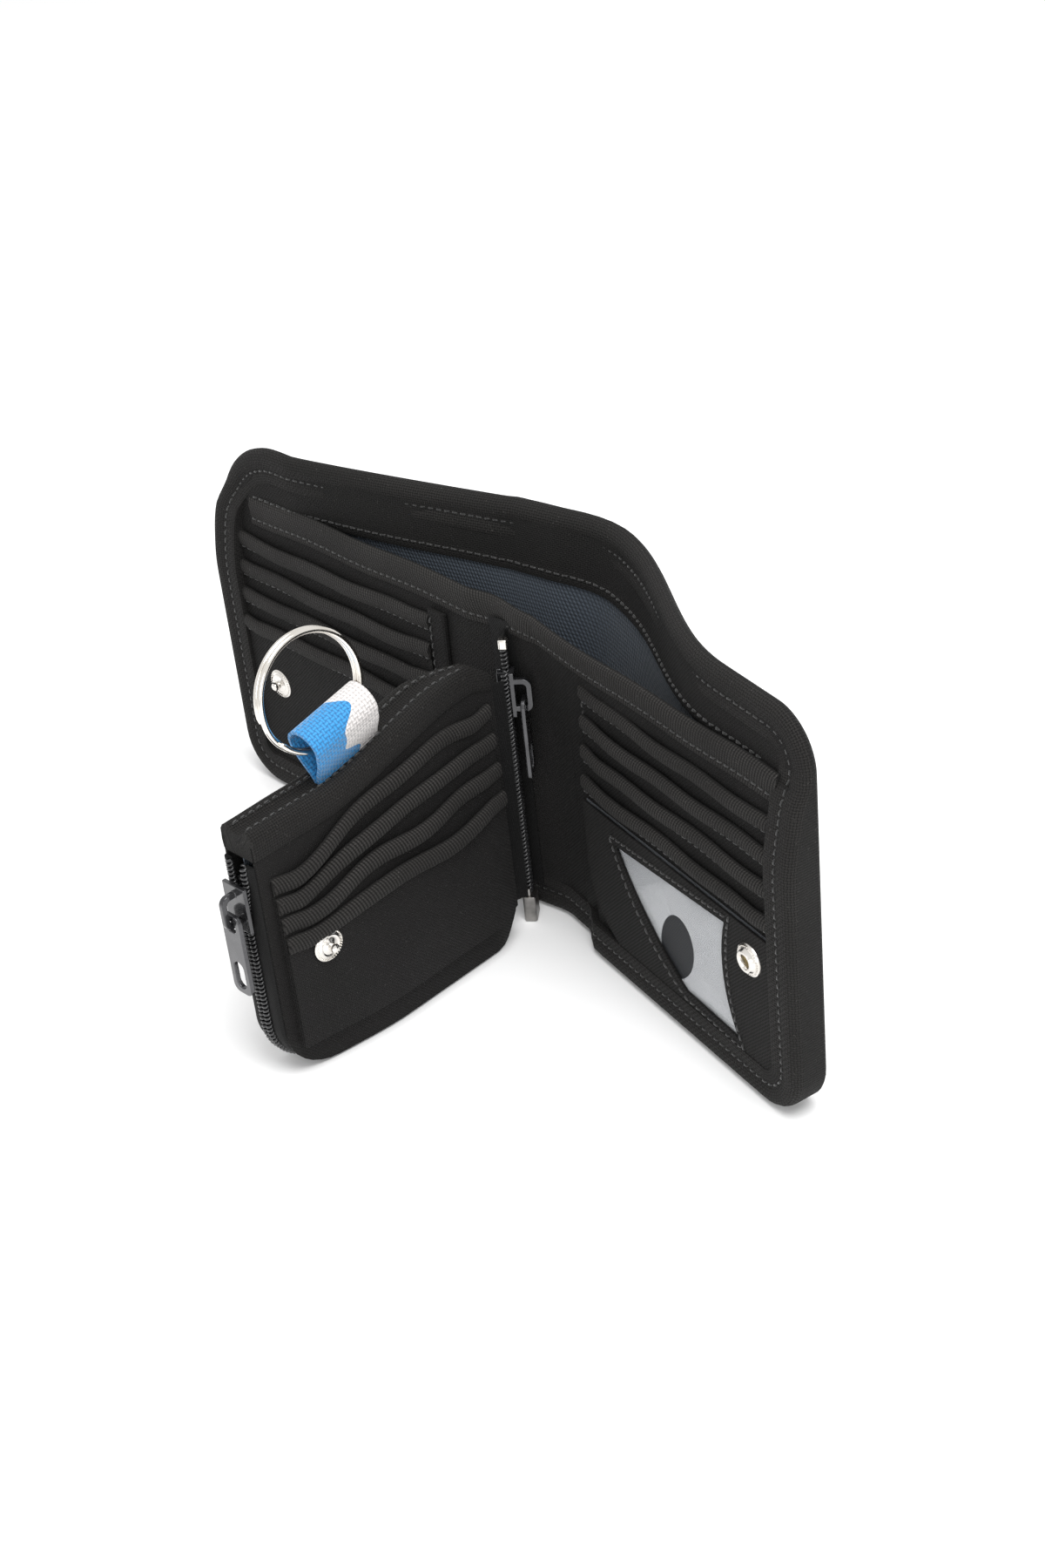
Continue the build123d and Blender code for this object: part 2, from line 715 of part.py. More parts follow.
lining_far = pouch_far - 4.0
with BuildPart() as pouch_lining:
    with BuildSketch(pouch_face.offset(pouch_front - canvas - ply_gap - lining)):
        with Locations((-(waist_u + 6 + lining_far) / 2, cover_height / 2)):
            Rectangle(lining_far - waist_u - 6, cover_height)
    extrude(amount=lining)
    with BuildSketch(pouch_face.offset(back_at + 2 * canvas + ply_gap)):
        with Locations((-(full_u + 2 + lining_far) / 2, cover_height / 2)):
            Rectangle(lining_far - full_u - 2, cover_height)
    extrude(amount=lining)
    pouch_trim(hem_drop + 2)
save(pouch_lining, "pouch_lining")

ridge = 2.6                 # thickness of each of the hem's two ridges
with BuildPart() as pouch_hem:
    with BuildSketch(pouch_plan(0)):
        with Locations((-(full_u + pouch_far) / 2, -pouch_front + (pouch_depth - 1) / 2)):
            Rectangle(pouch_far - full_u, pouch_depth - 1)
        with BuildLine():
            Polyline(
                (-pouch_near, -pouch_front),
                (-pouch_near, waist),
                (-waist_u, waist),
                (-full_u, pouch_depth - 1 - pouch_front),
                (-full_u, -pouch_front),
                close=True,
            )
        make_face()
    extrude(amount=cover_height)
    pouch_trim(0)
    with BuildSketch(pouch_face.offset(-reach)):
        with BuildLine():
            Polyline(
                (-pouch_far - 5, 0),
                (-pouch_far - 5, pouch_top(pouch_far + 5) - pouch_hem_height),
                (5, pouch_top(-5) - pouch_hem_height),
                (5, 0),
                close=True,
            )
        make_face()
    extrude(amount=2 * reach, mode=Mode.SUBTRACT)
    groove_in = -pouch_front + ridge
    groove_out = pouch_depth - 1 - pouch_front - ridge
    with BuildSketch(pouch_face.offset(-groove_out)):
        with BuildLine():
            Polyline(
                (-pouch_far - 5, pouch_top(pouch_far + 5) - 1.8),
                (-pouch_far - 5, pouch_top(pouch_far + 5) + 5),
                (-full_u - 6, pouch_top(full_u + 6) + 5),
                (-full_u - 6, pouch_top(full_u + 6) - 1.8),
                close=True,
            )
        make_face()
    extrude(amount=groove_out - groove_in, mode=Mode.SUBTRACT)
save(pouch_hem, "pouch_hem")

pouch_stack = pouch_front + ply_gap
for i in range(pocket_count):
    near_lip = pouch_first_lip[0] - pouch_lip_pitch[0] * i
    far_lip = pouch_first_lip[1] - pouch_lip_pitch[1] * i
    front = pouch_stack + pocket_pile * i
    pocket_foot = pouch_bottom + pouch_hem_height
    with BuildPart() as pouch_pocket:
        for foot_near, foot_far, thick in (
            (pocket_foot, pocket_foot, pocket_cloth),
            (near_lip - lip_height, far_lip - lip_height, lip_cloth),
        ):
            with BuildSketch(pouch_face.offset(front)):
                with BuildLine():
                    Polyline(
                        (-pouch_pocket_near, foot_near),
                        (-pouch_pocket_near, near_lip),
                        (-pouch_far + pouch_pocket_rim, far_lip),
                        (-pouch_far + pouch_pocket_rim, foot_far),
                        close=True,
                    )
                make_face()
            extrude(amount=thick)
    save(pouch_pocket, f"pouch_pocket_{i + 1}")

pouch_snap_u = 76.0
pouch_snap_z = 31.0
pouch_stack_top = pouch_stack + pocket_pile * (pocket_count - 1) + pocket_cloth
pouch_stud = snap_stud(pouch_face, pouch_stack_top + skin_gap, -pouch_snap_u, pouch_snap_z)
save(pouch_stud, "pouch_snap_stud")

pouch_rear = face_plane(pin_line, -pouch_axis)
rear_socket = snap_socket(pouch_rear, pouch_depth + skin_gap, pouch_snap_u, pouch_snap_z)
save(rear_socket, "pouch_snap_socket")

# ---------------------------------------------------------------- zip round the pouch
tape_at = pouch_far + body_gap
row_mid = tape_at + row_size / 2
zip_mid = -pouch_front + (pouch_depth - 1) / 2 + 0.5
zip_top = pouch_top(pouch_far) - pouch_hem_height - 0.6
zip_end_u = 14.0


def l_band(inner, outer):
    """Band that runs down the free end, round the corner and along the bottom."""
    low = pouch_bottom + pouch_far
    with Locations((-(outer + zip_end_u) / 2, (zip_top + low - outer) / 2)):
        Rectangle(outer - zip_end_u, zip_top - (low - outer))
    fillet(vertices().group_by(Axis.X)[0].sort_by(Axis.Y)[0], pouch_corner + outer - pouch_far)
    with BuildSketch(mode=Mode.PRIVATE) as hole:
        with Locations((-inner / 2, (cover_height + low - inner) / 2)):
            Rectangle(inner, cover_height - (low - inner))
        fillet(vertices().group_by(Axis.X)[0].sort_by(Axis.Y)[0], pouch_corner + inner - pouch_far)
    add(hole.sketch, mode=Mode.SUBTRACT)


def zip_band(name, v0, v1, inner, outer):
    with BuildPart() as band:
        with BuildSketch(pouch_face.offset(-v1)):
            l_band(inner, outer)
        extrude(amount=v1 - v0)
    save(band, name)


row_in = row_mid - row_size / 2
row_out = row_mid + row_size / 2
row_0 = zip_mid - row_gap / 2
row_1 = zip_mid + row_gap / 2
zip_band("pouch_chain_front", row_0 - row_size, row_0, row_in, row_out)
zip_band("pouch_chain_back", row_1, row_1 + row_size, row_in, row_out)
tape_1 = row_0 - row_size - skin_gap
tape_2 = row_1 + row_size + skin_gap
zip_band("pouch_tape_front", -pouch_front, tape_1, tape_at, tape_at + tape_cloth)
zip_band("pouch_tape_back", tape_2, pouch_depth, tape_at, tape_at + tape_cloth)


def pouch_zip_plan(z):
    """Level plane on the zip's middle line: x runs across the zip, y towards the spine."""
    origin = pin_line - pouch_axis * row_mid - pouch_face.z_dir * zip_mid + up * z
    return Plane(origin=origin, x_dir=pouch_face.z_dir, z_dir=up)


zip_middle = pin_line - pouch_axis * row_mid - pouch_face.z_dir * zip_mid
pouch_bail_face = Plane(
    origin=zip_middle + up * pouch_slider_z, x_dir=-pouch_axis, z_dir=-pouch_face.z_dir
)

inner_half = row_gap / 2 + row_size    # the wing inside the pouch is as wide as the coils
with BuildPart() as pouch_slider:
    slider_wing(pouch_zip_plan, -slider_half, slider_half, -wing_at, pouch_slider_z)
    slider_wing(pouch_zip_plan, -inner_half, inner_half, wing_at, pouch_slider_z)
    with BuildSketch(pouch_zip_plan(pouch_slider_z + slider_length * 0.55)):
        Rectangle(neck, 2 * wing_at + slider_plate)
    extrude(amount=slider_length * 0.4)
    arched_bail(pouch_bail_face, wing_out)
save(pouch_slider, "pouch_slider")

pouch_pull_face = Plane(origin=zip_middle, x_dir=pouch_face.z_dir, z_dir=-pouch_axis)
pouch_pull = pull_tab(pouch_pull_face, pouch_slider_z + leg_z, tab_out)
save(pouch_pull, "pouch_puller")

# ---------------------------------------------------------------- hinge zip, pouch side
pouch_row_top = 84.5
pouch_tape_top = pouch_top_near - pouch_hem_height - body_gap
tape_start = row_size / 2 + coil_gap
tape_end = pouch_near + 3.0
tape_back = pouch_front - canvas - ply_gap - tape_thin

# The tape starts beside the coils, in line with them, and runs in behind the front panel.
with BuildPart() as pouch_hinge_tape:
    with BuildSketch(pouch_plan(chain_low)):
        with BuildLine():
            Polyline(
                (-tape_start, -tape_thin / 2),
                (-tape_start, tape_thin / 2),
                (-pouch_near + body_gap, -tape_back),
                (-tape_end, -tape_back),
                (-tape_end, -tape_back - tape_thin),
                (-pouch_near + body_gap, -tape_back - tape_thin),
                close=True,
            )
        make_face()
    extrude(amount=pouch_tape_top - chain_low)
save(pouch_hinge_tape, "pouch_hinge_tape")

pin_foot = box_floor + body_gap
with BuildPart() as hinge_chain_pouch:
    with BuildSketch(Plane.XY.offset(chain_low)):
        with Locations((pin_line.X, pin_line.Y)):
            Circle(row_size / 2)
    extrude(amount=pouch_row_top - chain_low)
    with BuildSketch(Plane.XY.offset(pin_foot)):
        with Locations((pin_line.X, pin_line.Y)):
            Circle(pin_radius)
    extrude(amount=chain_low - pin_foot)
save(hinge_chain_pouch, "hinge_chain_pouch")

# ---------------------------------------------------------------- ribbon loop and ring
tilt = radians(ribbon_tilt)
ribbon_mid_v = -pouch_front + (pouch_depth - 1) / 2
foot_radius = ribbon_cloth
hem_floor = pouch_top(ribbon_at) - 1.8
ribbon_low = hem_floor + foot_radius + body_gap + ribbon_width / 2 * (tan(tilt) - top_slope)
ribbon_foot = pin_line - pouch_axis * ribbon_at - pouch_face.z_dir * ribbon_mid_v + up * ribbon_low
ribbon_axis = pouch_axis * cos(tilt) + up * sin(tilt)
ribbon_up = up * cos(tilt) - pouch_axis * sin(tilt)
ribbon_plane = Plane(origin=ribbon_foot, x_dir=ribbon_up.cross(ribbon_axis), z_dir=ribbon_axis)

loop_mid = ribbon_neck + ribbon_bore
with BuildPart() as ribbon_loop:
    with BuildSketch(ribbon_plane.offset(-ribbon_width / 2)):
        with Locations((0, loop_mid)):
            Circle(ribbon_bore + ribbon_cloth)
        with BuildLine():
            Polyline(
                (-foot_radius, 0),
                (foot_radius, 0),
                (ribbon_bore + ribbon_cloth - 0.6, loop_mid - 2),
                (-ribbon_bore - ribbon_cloth + 0.6, loop_mid - 2),
                close=True,
            )
        make_face()
        Circle(foot_radius)
        with Locations((0, loop_mid)):
            Circle(ribbon_bore, mode=Mode.SUBTRACT)
    extrude(amount=ribbon_width)
save(ribbon_loop, "ribbon_loop")

# The ring's chord inside the loop sags by this much, and is centred in the loop.
ring_mid = ring_radius - ring_wire / 2
chord_sag = ring_mid - (ring_mid ** 2 - (ribbon_width / 2) ** 2) ** 0.5
ring_lift = loop_mid - chord_sag / 2 + ring_mid
ring_centre = ribbon_foot + ribbon_up * ring_lift
ring_side = ribbon_axis.cross(ribbon_up)
ring_plane = Plane(origin=ring_centre, x_dir=ribbon_axis, z_dir=ring_side)
turn_gap = 0.12
with BuildPart() as key_ring:
    turn = (ring_depth - turn_gap) / 2
    for start in (-ring_depth / 2, turn_gap / 2):
        with BuildSketch(ring_plane.offset(start)):
            Circle(ring_radius)
            Circle(ring_radius - ring_wire, mode=Mode.SUBTRACT)
        extrude(amount=turn)
    with BuildSketch(ring_plane.offset(-turn_gap / 2)):
        with Locations((0, ring_mid)):
            Rectangle(4, ring_wire * 0.7)
    extrude(amount=turn_gap)
save(key_ring, "key_ring")
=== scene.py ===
# %% [markdown]
# # A canvas wallet that stands open
# The CAD model gives the frame: where each piece sits, what it rides on and how far it moves.
# This lesson makes the cloth, thread, coils and metal that are seen. It loads the frame,
# measures it, and then makes each piece as a mesh in metres.

# %% Load the frame
import json
from math import atan2, cos, pi, radians, sin, sqrt

import bmesh
import bpy
from mathutils import Matrix, Vector

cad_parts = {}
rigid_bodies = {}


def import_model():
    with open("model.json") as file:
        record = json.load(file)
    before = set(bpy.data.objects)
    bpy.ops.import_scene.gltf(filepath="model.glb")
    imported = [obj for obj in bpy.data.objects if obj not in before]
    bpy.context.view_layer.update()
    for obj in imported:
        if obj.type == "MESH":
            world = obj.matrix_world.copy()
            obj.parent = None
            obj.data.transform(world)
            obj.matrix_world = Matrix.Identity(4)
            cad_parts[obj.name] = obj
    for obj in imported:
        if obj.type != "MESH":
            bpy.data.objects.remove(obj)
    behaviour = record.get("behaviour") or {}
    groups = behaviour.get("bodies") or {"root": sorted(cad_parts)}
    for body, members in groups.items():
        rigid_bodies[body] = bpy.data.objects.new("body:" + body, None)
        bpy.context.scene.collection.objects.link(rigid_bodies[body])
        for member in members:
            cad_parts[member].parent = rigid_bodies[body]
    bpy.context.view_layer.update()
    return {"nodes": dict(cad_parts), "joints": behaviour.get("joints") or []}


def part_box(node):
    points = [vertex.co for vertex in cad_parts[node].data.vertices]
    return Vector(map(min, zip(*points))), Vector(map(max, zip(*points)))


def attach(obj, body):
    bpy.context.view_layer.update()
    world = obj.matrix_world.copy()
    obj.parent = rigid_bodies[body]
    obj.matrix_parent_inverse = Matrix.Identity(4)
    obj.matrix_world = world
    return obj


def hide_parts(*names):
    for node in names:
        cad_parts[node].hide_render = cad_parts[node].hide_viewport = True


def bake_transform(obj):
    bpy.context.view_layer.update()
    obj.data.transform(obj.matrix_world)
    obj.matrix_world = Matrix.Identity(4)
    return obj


for old in list(bpy.data.objects):
    bpy.data.objects.remove(old)
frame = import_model()
joints = {joint["name"]: joint for joint in frame["joints"]}
mm = 0.001
up = Vector((0, 0, 1))

# %% [markdown]
# ## Driving sizes
# The cloth pieces follow the panels, so their sizes are named once here, in metres. Heights
# come from the frame; the folds come from the joints.

# %% Sizes of the panels
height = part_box("left_binding")[1].z
half = joints["right_fold"]["pos_m"][0]      # spine's middle to a fold line
panel = 115 * mm                             # fold line to a panel's outer edge
left_bend, right_bend = radians(9.4), radians(21.3)
inner_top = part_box("spine_hem")[1].z
corner = 15 * mm
binding_wide = 11 * mm
bow, bow_start, bow_reach = 22 * mm, 10 * mm, 78 * mm
edge = half + panel
print("wallet is", round(2 * edge / mm), "mm round the inside,", round(height / mm), "mm high")


# %% Smooth steps and the line of the inner cloth
def smooth(x):
    x = min(max(x, 0.0), 1.0)
    return x * x * (3 - 2 * x)


LEFT_ALONG = Vector((cos(left_bend), -sin(left_bend), 0))
RIGHT_ALONG = Vector((cos(right_bend), -sin(right_bend), 0))
LEFT_OUT = Vector((sin(left_bend), cos(left_bend), 0))
RIGHT_OUT = Vector((sin(right_bend), cos(right_bend), 0))


def place(t, n, z, soft=4 * mm):
    """Point t along the wallet from the spine's middle, n out through its back, z high.
    soft is half the length over which the cloth turns at a fold."""
    left = smooth((-t - half + soft) / (2 * soft))
    right = smooth((t - half + soft) / (2 * soft))
    middle = 1 - left - right
    on_left = Vector((-half, 0, 0)) + LEFT_ALONG * (t + half)
    on_right = Vector((half, 0, 0)) + RIGHT_ALONG * (t - half)
    point = on_left * left + Vector((t, 0, 0)) * middle + on_right * right
    out = (LEFT_OUT * left + Vector((0, 1, 0)) * middle + RIGHT_OUT * right).normalized()
    return point + out * n + up * z


def bow_at(t):
    """How far the shell's top stands off: it falls evenly on the left, in an S on the right."""
    share = min(max(abs(t) - half, 0) / bow_reach, 1)
    return bow * ((1 - share) ** 1.1 if t < 0 else 1 - smooth(share))


def stand_off(t, z):
    return bow_at(t) * max(z - bow_start, 0) / (height - bow_start)


SHELL_SOFT = 11 * mm
print("shell stands off", round(bow_at(0) / mm, 1), "mm at the spine")

# %% [markdown]
# ## Mesh helpers
# Cloth is made as slabs: a front grid and a back grid with the rim closed, so that each piece
# is a solid sheet with a real thickness. Each grid also gets a map in metres along its own
# threads, so that the weave follows the cloth round every bend.


# %% Object helpers
def new_object(name, data):
    """Object for a mesh, curve, light or camera, linked into the scene."""
    made = bpy.data.objects.new(name, data)
    bpy.context.scene.collection.objects.link(made)
    return made


def add_piece(name, mesh):
    """Object for a mesh, linked into the scene."""
    piece = new_object(name, mesh)
    return piece


def mesh_of_curve(name, curve):
    """Mesh of a curve; the curve's own object is thrown away."""
    holder = new_object(name + "_outline", curve)
    mesh = bpy.data.meshes.new_from_object(holder)
    bpy.data.objects.remove(holder)
    mesh.name = name
    return mesh


def map_cloth(mesh, uvs):
    """Give each corner of each face the map point of its vertex."""
    layer = mesh.uv_layers.new(name="cloth")
    for loop in mesh.loops:
        layer.data[loop.index].uv = uvs[loop.vertex_index]


def paint(piece, *materials):
    piece.data.materials.clear()
    for material in materials:
        piece.data.materials.append(material)
    return piece


def fit(piece, body, *nodes):
    """Put a piece on its body; nodes are the CAD pieces that it stands for."""
    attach(piece, body)
    if nodes:
        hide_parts(*nodes)
    return piece


# %% Slab and sweep helpers
def finish_mesh(name, verts, faces, uvs, sharp=50):
    """Object from points, faces and one map point for each vertex."""
    mesh = bpy.data.meshes.new(name)
    mesh.from_pydata([tuple(v) for v in verts], [], faces)
    map_cloth(mesh, uvs)
    mesh.shade_smooth()
    work = bmesh.new()
    work.from_mesh(mesh)
    bmesh.ops.recalc_face_normals(work, faces=work.faces)
    work.to_mesh(mesh)
    work.free()
    mesh.set_sharp_from_angle(angle=radians(sharp))
    return add_piece(name, mesh)


def slab(name, us, vs, point, thick, lows=None, highs=None):
    """Closed sheet: point(u, v, n) is a place on it, with n from 0 in front to thick behind.
    lows and highs give the range of v at each u; vs are then shares from 0 to 1."""
    verts, uvs, faces = [], [], []
    cols, rows = len(us), len(vs)
    for side in (0, 1):
        for i, u in enumerate(us):
            for v in vs:
                w = v if lows is None else lows[i] + (highs[i] - lows[i]) * v
                verts.append(point(u, w, thick * side))
                uvs.append((u, w))
    back = cols * rows
    for i in range(cols - 1):
        for j in range(rows - 1):
            a, b = i * rows + j, (i + 1) * rows + j
            faces.append((a, b, b + 1, a + 1))
            faces.append((back + a, back + a + 1, back + b + 1, back + b))
    rim = [i * rows for i in range(cols)] + [(cols - 1) * rows + j for j in range(1, rows)]
    rim += [i * rows + rows - 1 for i in range(cols - 2, -1, -1)] + list(range(rows - 2, 0, -1))
    for a, b in zip(rim, rim[1:] + rim[:1]):
        faces.append((a, back + a, back + b, b))
    return finish_mesh(name, verts, faces, uvs)


def sweep(name, rings, closed=False, sharp=50):
    """Skin over rings of points, capped at both ends unless it is closed on itself."""
    verts, uvs, faces = [], [], []
    count = len(rings[0])
    run = 0.0
    for i, ring in enumerate(rings):
        if i:
            run += (Vector(ring[0]) - Vector(rings[i - 1][0])).length
        around = 0.0
        for k, p in enumerate(ring):
            if k:
                around += (Vector(p) - Vector(ring[k - 1])).length
            verts.append(p)
            uvs.append((run, around))
    last = len(rings) if closed else len(rings) - 1
    for i in range(last):
        a, b = i * count, ((i + 1) % len(rings)) * count
        for k in range(count):
            m = (k + 1) % count
            faces.append((a + k, b + k, b + m, a + m))
    if not closed:
        faces.append(tuple(range(count)))
        faces.append(tuple(reversed(range((len(rings) - 1) * count, len(rings) * count))))
    return finish_mesh(name, verts, faces, uvs, sharp)


def spread(start, end, step):
    """Evenly spaced values from start to end, about step apart."""
    count = max(int(round(abs(end - start) / step)), 1)
    return [start + (end - start) * i / count for i in range(count + 1)]


def join(name, objects):
    """One piece out of several meshes."""
    for other in bpy.context.scene.objects:
        other.select_set(other in objects)
    bpy.context.view_layer.objects.active = objects[0]
    bpy.ops.object.join()
    objects[0].name = name
    objects[0].select_set(False)
    return objects[0]


# %% [markdown]
# ## Thread
# A stitch shows as a short bar, a shade paler than the cloth, that dips in at both ends. One
# small spindle is copied along each seam, slightly uneven, as a machine sews it.


# %% Stitches along a line
THREAD = 0.34 * mm
STITCH_PITCH = 2.7 * mm
STITCH_SHARE = 0.42                          # half a stitch, as a share of the pitch
SIDES_OF_THREAD = 6
STITCH_TURN = 0.10                           # how unevenly the stitches lie along the seam
# Spindle of one stitch: place along it, thickness and lift, in thread radii.
SPINDLE = ((-0.92, 0.35, -0.5), (-0.5, 1.0, 0.25), (0.5, 1.0, 0.25), (0.92, 0.35, -0.5))


def running(points):
    """Length along a line at each of its points."""
    marks = [0.0]
    for a, b in zip(points, points[1:]):
        marks.append(marks[-1] + (b - a).length)
    return marks


def walk(points, distances):
    """At each rising distance along a line: the distance, the segment and the share of it."""
    marks = running(points)
    at = 0
    for s in distances:
        while at < len(marks) - 2 and marks[at + 1] < s:
            at += 1
        share = (s - marks[at]) / max(marks[at + 1] - marks[at], 1e-9)
        yield s, at, min(max(share, 0), 1)


def seam(name, points):
    """Stitches along a surface: points are (place, direction away from the cloth)."""
    line, outs = [p for p, o in points], [o for p, o in points]
    verts, faces, uvs = [], [], []
    total, sides = running(line)[-1], SIDES_OF_THREAD
    count = int(total / STITCH_PITCH)
    middles = [(k + 0.5) * total / count for k in range(count)]
    for k, (s, at, share) in enumerate(walk(line, middles)):
        centre = line[at].lerp(line[at + 1], share)
        out = outs[at].lerp(outs[at + 1], share).normalized()
        along = (line[at + 1] - line[at]).normalized()
        side = along.cross(out).normalized()
        along = (along + side * (STITCH_TURN * sin(k * 2.4))).normalized()
        base = len(verts)
        for x, r, lift in SPINDLE:
            for q in range(sides):
                turn = q * pi / (sides / 2)
                spoke = out * (sin(turn) * r + lift) + side * cos(turn) * r
                arm = along * x * STITCH_PITCH * STITCH_SHARE
                verts.append(centre + arm + spoke * THREAD)
                uvs.append((s + x * mm, q * 0.1 * mm))
        last = (len(SPINDLE) - 1) * sides
        for a in range(base, base + last, sides):
            for q in range(sides):
                r = (q + 1) % sides
                faces.append((a + q, a + sides + q, a + sides + r, a + r))
        faces.append(tuple(range(base, base + sides)))
        faces.append(tuple(reversed(range(base + last, base + last + sides))))
    return paint(finish_mesh(name, verts, faces, uvs, 80), thread)


# %% [markdown]
# ## Weave, wear and painted glints, as node groups
# Cloth looks like cloth because light catches single threads. One group draws a plain weave
# from the map in metres, one draws ribs, one a diagonal twill, and one rubs colour off high
# spots in soft patches and paints fine pale specks as glints on single fibres. Each material
# places the groups that it needs with its own values.


# %% Node group helpers
def new_group(name, inputs, outputs):
    group = bpy.data.node_groups.new(name, "ShaderNodeTree")
    for label, kind, value in inputs:
        socket = group.interface.new_socket(label, in_out="INPUT", socket_type=kind)
        if value is not None:
            socket.default_value = value
    for label, kind in outputs:
        group.interface.new_socket(label, in_out="OUTPUT", socket_type=kind)
    start = group.nodes.new("NodeGroupInput")
    end = group.nodes.new("NodeGroupOutput")
    return group, start, end


def math(tree, kind, a, b=None):
    node = tree.nodes.new("ShaderNodeMath")
    node.operation = kind
    for index, value in enumerate((a, b)):
        if value is None:
            continue
        if isinstance(value, (int, float)):
            node.inputs[index].default_value = value
        else:
            tree.links.new(value, node.inputs[index])
    return node.outputs[0]


def stripes(tree, value, pitch=pi):
    """Row of round ridges: 0 between them, 1 on top."""
    return math(tree, "ABSOLUTE", math(tree, "SINE", math(tree, "MULTIPLY", value, pitch)))


def dim(tree, value, by, share):
    """value, of which this share fades where by is 0."""
    kept = math(tree, "ADD", math(tree, "MULTIPLY", by, share), 1 - share)
    return math(tree, "MULTIPLY", value, kept)


def split_map(tree, vector, scale):
    """The map's two numbers, times scale."""
    parts = tree.nodes.new("ShaderNodeSeparateXYZ")
    tree.links.new(vector, parts.inputs[0])
    x = math(tree, "MULTIPLY", parts.outputs[0], scale)
    y = math(tree, "MULTIPLY", parts.outputs[1], scale)
    return x, y


# %% Plain weave group
def make_plain_weave():
    """Height and mask of a plain weave: warp and weft pass over each other by turns."""
    tree, start, end = new_group(
        "plain_weave",
        [("Map", "NodeSocketVector", None), ("Threads", "NodeSocketFloat", 1800.0)],
        [("Height", "NodeSocketFloat"), ("Warp", "NodeSocketFloat")],
    )
    wobble = tree.nodes.new("ShaderNodeTexNoise")
    wobble.inputs["Scale"].default_value = 420.0
    tree.links.new(start.outputs["Map"], wobble.inputs["Vector"])
    push = math(tree, "MULTIPLY", math(tree, "SUBTRACT", wobble.outputs[0], 0.5), 0.55)
    x0, y0 = split_map(tree, start.outputs["Map"], start.outputs["Threads"])
    x, y = math(tree, "ADD", x0, push), math(tree, "ADD", y0, push)
    cell = math(tree, "ADD", math(tree, "FLOOR", x), math(tree, "FLOOR", y))
    over = math(tree, "PINGPONG", cell, 1.0)
    warp = dim(tree, stripes(tree, x), over, 0.6)
    weft = dim(tree, stripes(tree, y), math(tree, "SUBTRACT", 1.0, over), 0.6)
    tree.links.new(math(tree, "MAXIMUM", warp, weft), end.inputs["Height"])
    tree.links.new(over, end.inputs["Warp"])
    return tree


# %% Rib, twill and wear groups
def make_ribs():
    """Knitted ribs: raised bars across the tape, each broken into slanting loops."""
    tree, start, end = new_group(
        "ribs",
        [("Map", "NodeSocketVector", None), ("Ribs", "NodeSocketFloat", 900.0)],
        [("Height", "NodeSocketFloat")],
    )
    x, y = split_map(tree, start.outputs["Map"], start.outputs["Ribs"])
    slant = math(tree, "ADD", x, math(tree, "MULTIPLY", y, 0.35))
    both = dim(tree, stripes(tree, slant), stripes(tree, y, pi * 1.3), 0.45)
    tree.links.new(both, end.inputs["Height"])
    return tree


def make_twill():
    """Diagonal lines of a twill, with single threads across them."""
    tree, start, end = new_group(
        "twill",
        [("Map", "NodeSocketVector", None), ("Threads", "NodeSocketFloat", 1500.0)],
        [("Height", "NodeSocketFloat"), ("Line", "NodeSocketFloat")],
    )
    x, y = split_map(tree, start.outputs["Map"], start.outputs["Threads"])
    slope = math(tree, "ADD", x, math(tree, "MULTIPLY", y, 0.5))
    line = stripes(tree, slope)
    both = dim(tree, line, stripes(tree, y), 0.6)
    tree.links.new(both, end.inputs["Height"])
    tree.links.new(line, end.inputs["Line"])
    return tree


def make_wear_and_glints():
    """Soft patches for fading, and fine pale specks as painted glints."""
    tree, start, end = new_group(
        "wear_and_glints",
        [("Scale", "NodeSocketFloat", 45.0), ("Lint", "NodeSocketFloat", 0.5)],
        [("Patch", "NodeSocketFloat"), ("Lint", "NodeSocketFloat")],
    )
    spot = tree.nodes.new("ShaderNodeTexCoord")
    cloud = tree.nodes.new("ShaderNodeTexNoise")
    cloud.inputs["Detail"].default_value = 5.0
    tree.links.new(spot.outputs["Object"], cloud.inputs["Vector"])
    tree.links.new(start.outputs["Scale"], cloud.inputs["Scale"])
    patch = tree.nodes.new("ShaderNodeMapRange")
    patch.inputs["From Min"].default_value = 0.35
    patch.inputs["From Max"].default_value = 0.7
    tree.links.new(cloud.outputs[0], patch.inputs[0])
    fine = tree.nodes.new("ShaderNodeTexNoise")
    fine.inputs["Scale"].default_value = 1500.0
    tree.links.new(spot.outputs["Object"], fine.inputs["Vector"])
    # Fine pale specks: painted glints on single fibres.
    glint_spot = math(tree, "GREATER_THAN", fine.outputs[0], 0.71)
    tree.links.new(patch.outputs[0], end.inputs["Patch"])
    tree.links.new(math(tree, "MULTIPLY", glint_spot, start.outputs["Lint"]), end.inputs["Lint"])
    return tree


GROUPS = {
    "weave": make_plain_weave(), "ribs": make_ribs(), "twill": make_twill(), "wear_and_glints": make_wear_and_glints(),
}
print("node groups:", sorted(GROUPS))


# %% [markdown]
# ## Materials
# Each finish is one Principled shader. Black cloth is never pure black: it scatters light from
# its fibres, so it gets a little sheen, a broad roughness and a thread-by-thread bump. Its
# colour is painted paler on the threads as highlight and darker between them as shade.


# %% Material helpers
def start_material(name, rough=0.8, metallic=0.0, spec=0.5, sheen=0.0, coat=0.0):
    material = bpy.data.materials.new(name)
    material.use_nodes = True
    tree = material.node_tree
    shader = tree.nodes["Principled BSDF"]
    shader.inputs["Roughness"].default_value = rough
    shader.inputs["Metallic"].default_value = metallic
    shader.inputs["Specular IOR Level"].default_value = spec
    shader.inputs["Sheen Weight"].default_value = sheen
    shader.inputs["Sheen Roughness"].default_value = 0.45
    shader.inputs["Coat Weight"].default_value = coat
    return material, tree, shader


def use_group(tree, key, **values):
    node = tree.nodes.new("ShaderNodeGroup")
    node.node_tree = GROUPS[key]
    for label, value in values.items():
        node.inputs[label].default_value = value
    return node


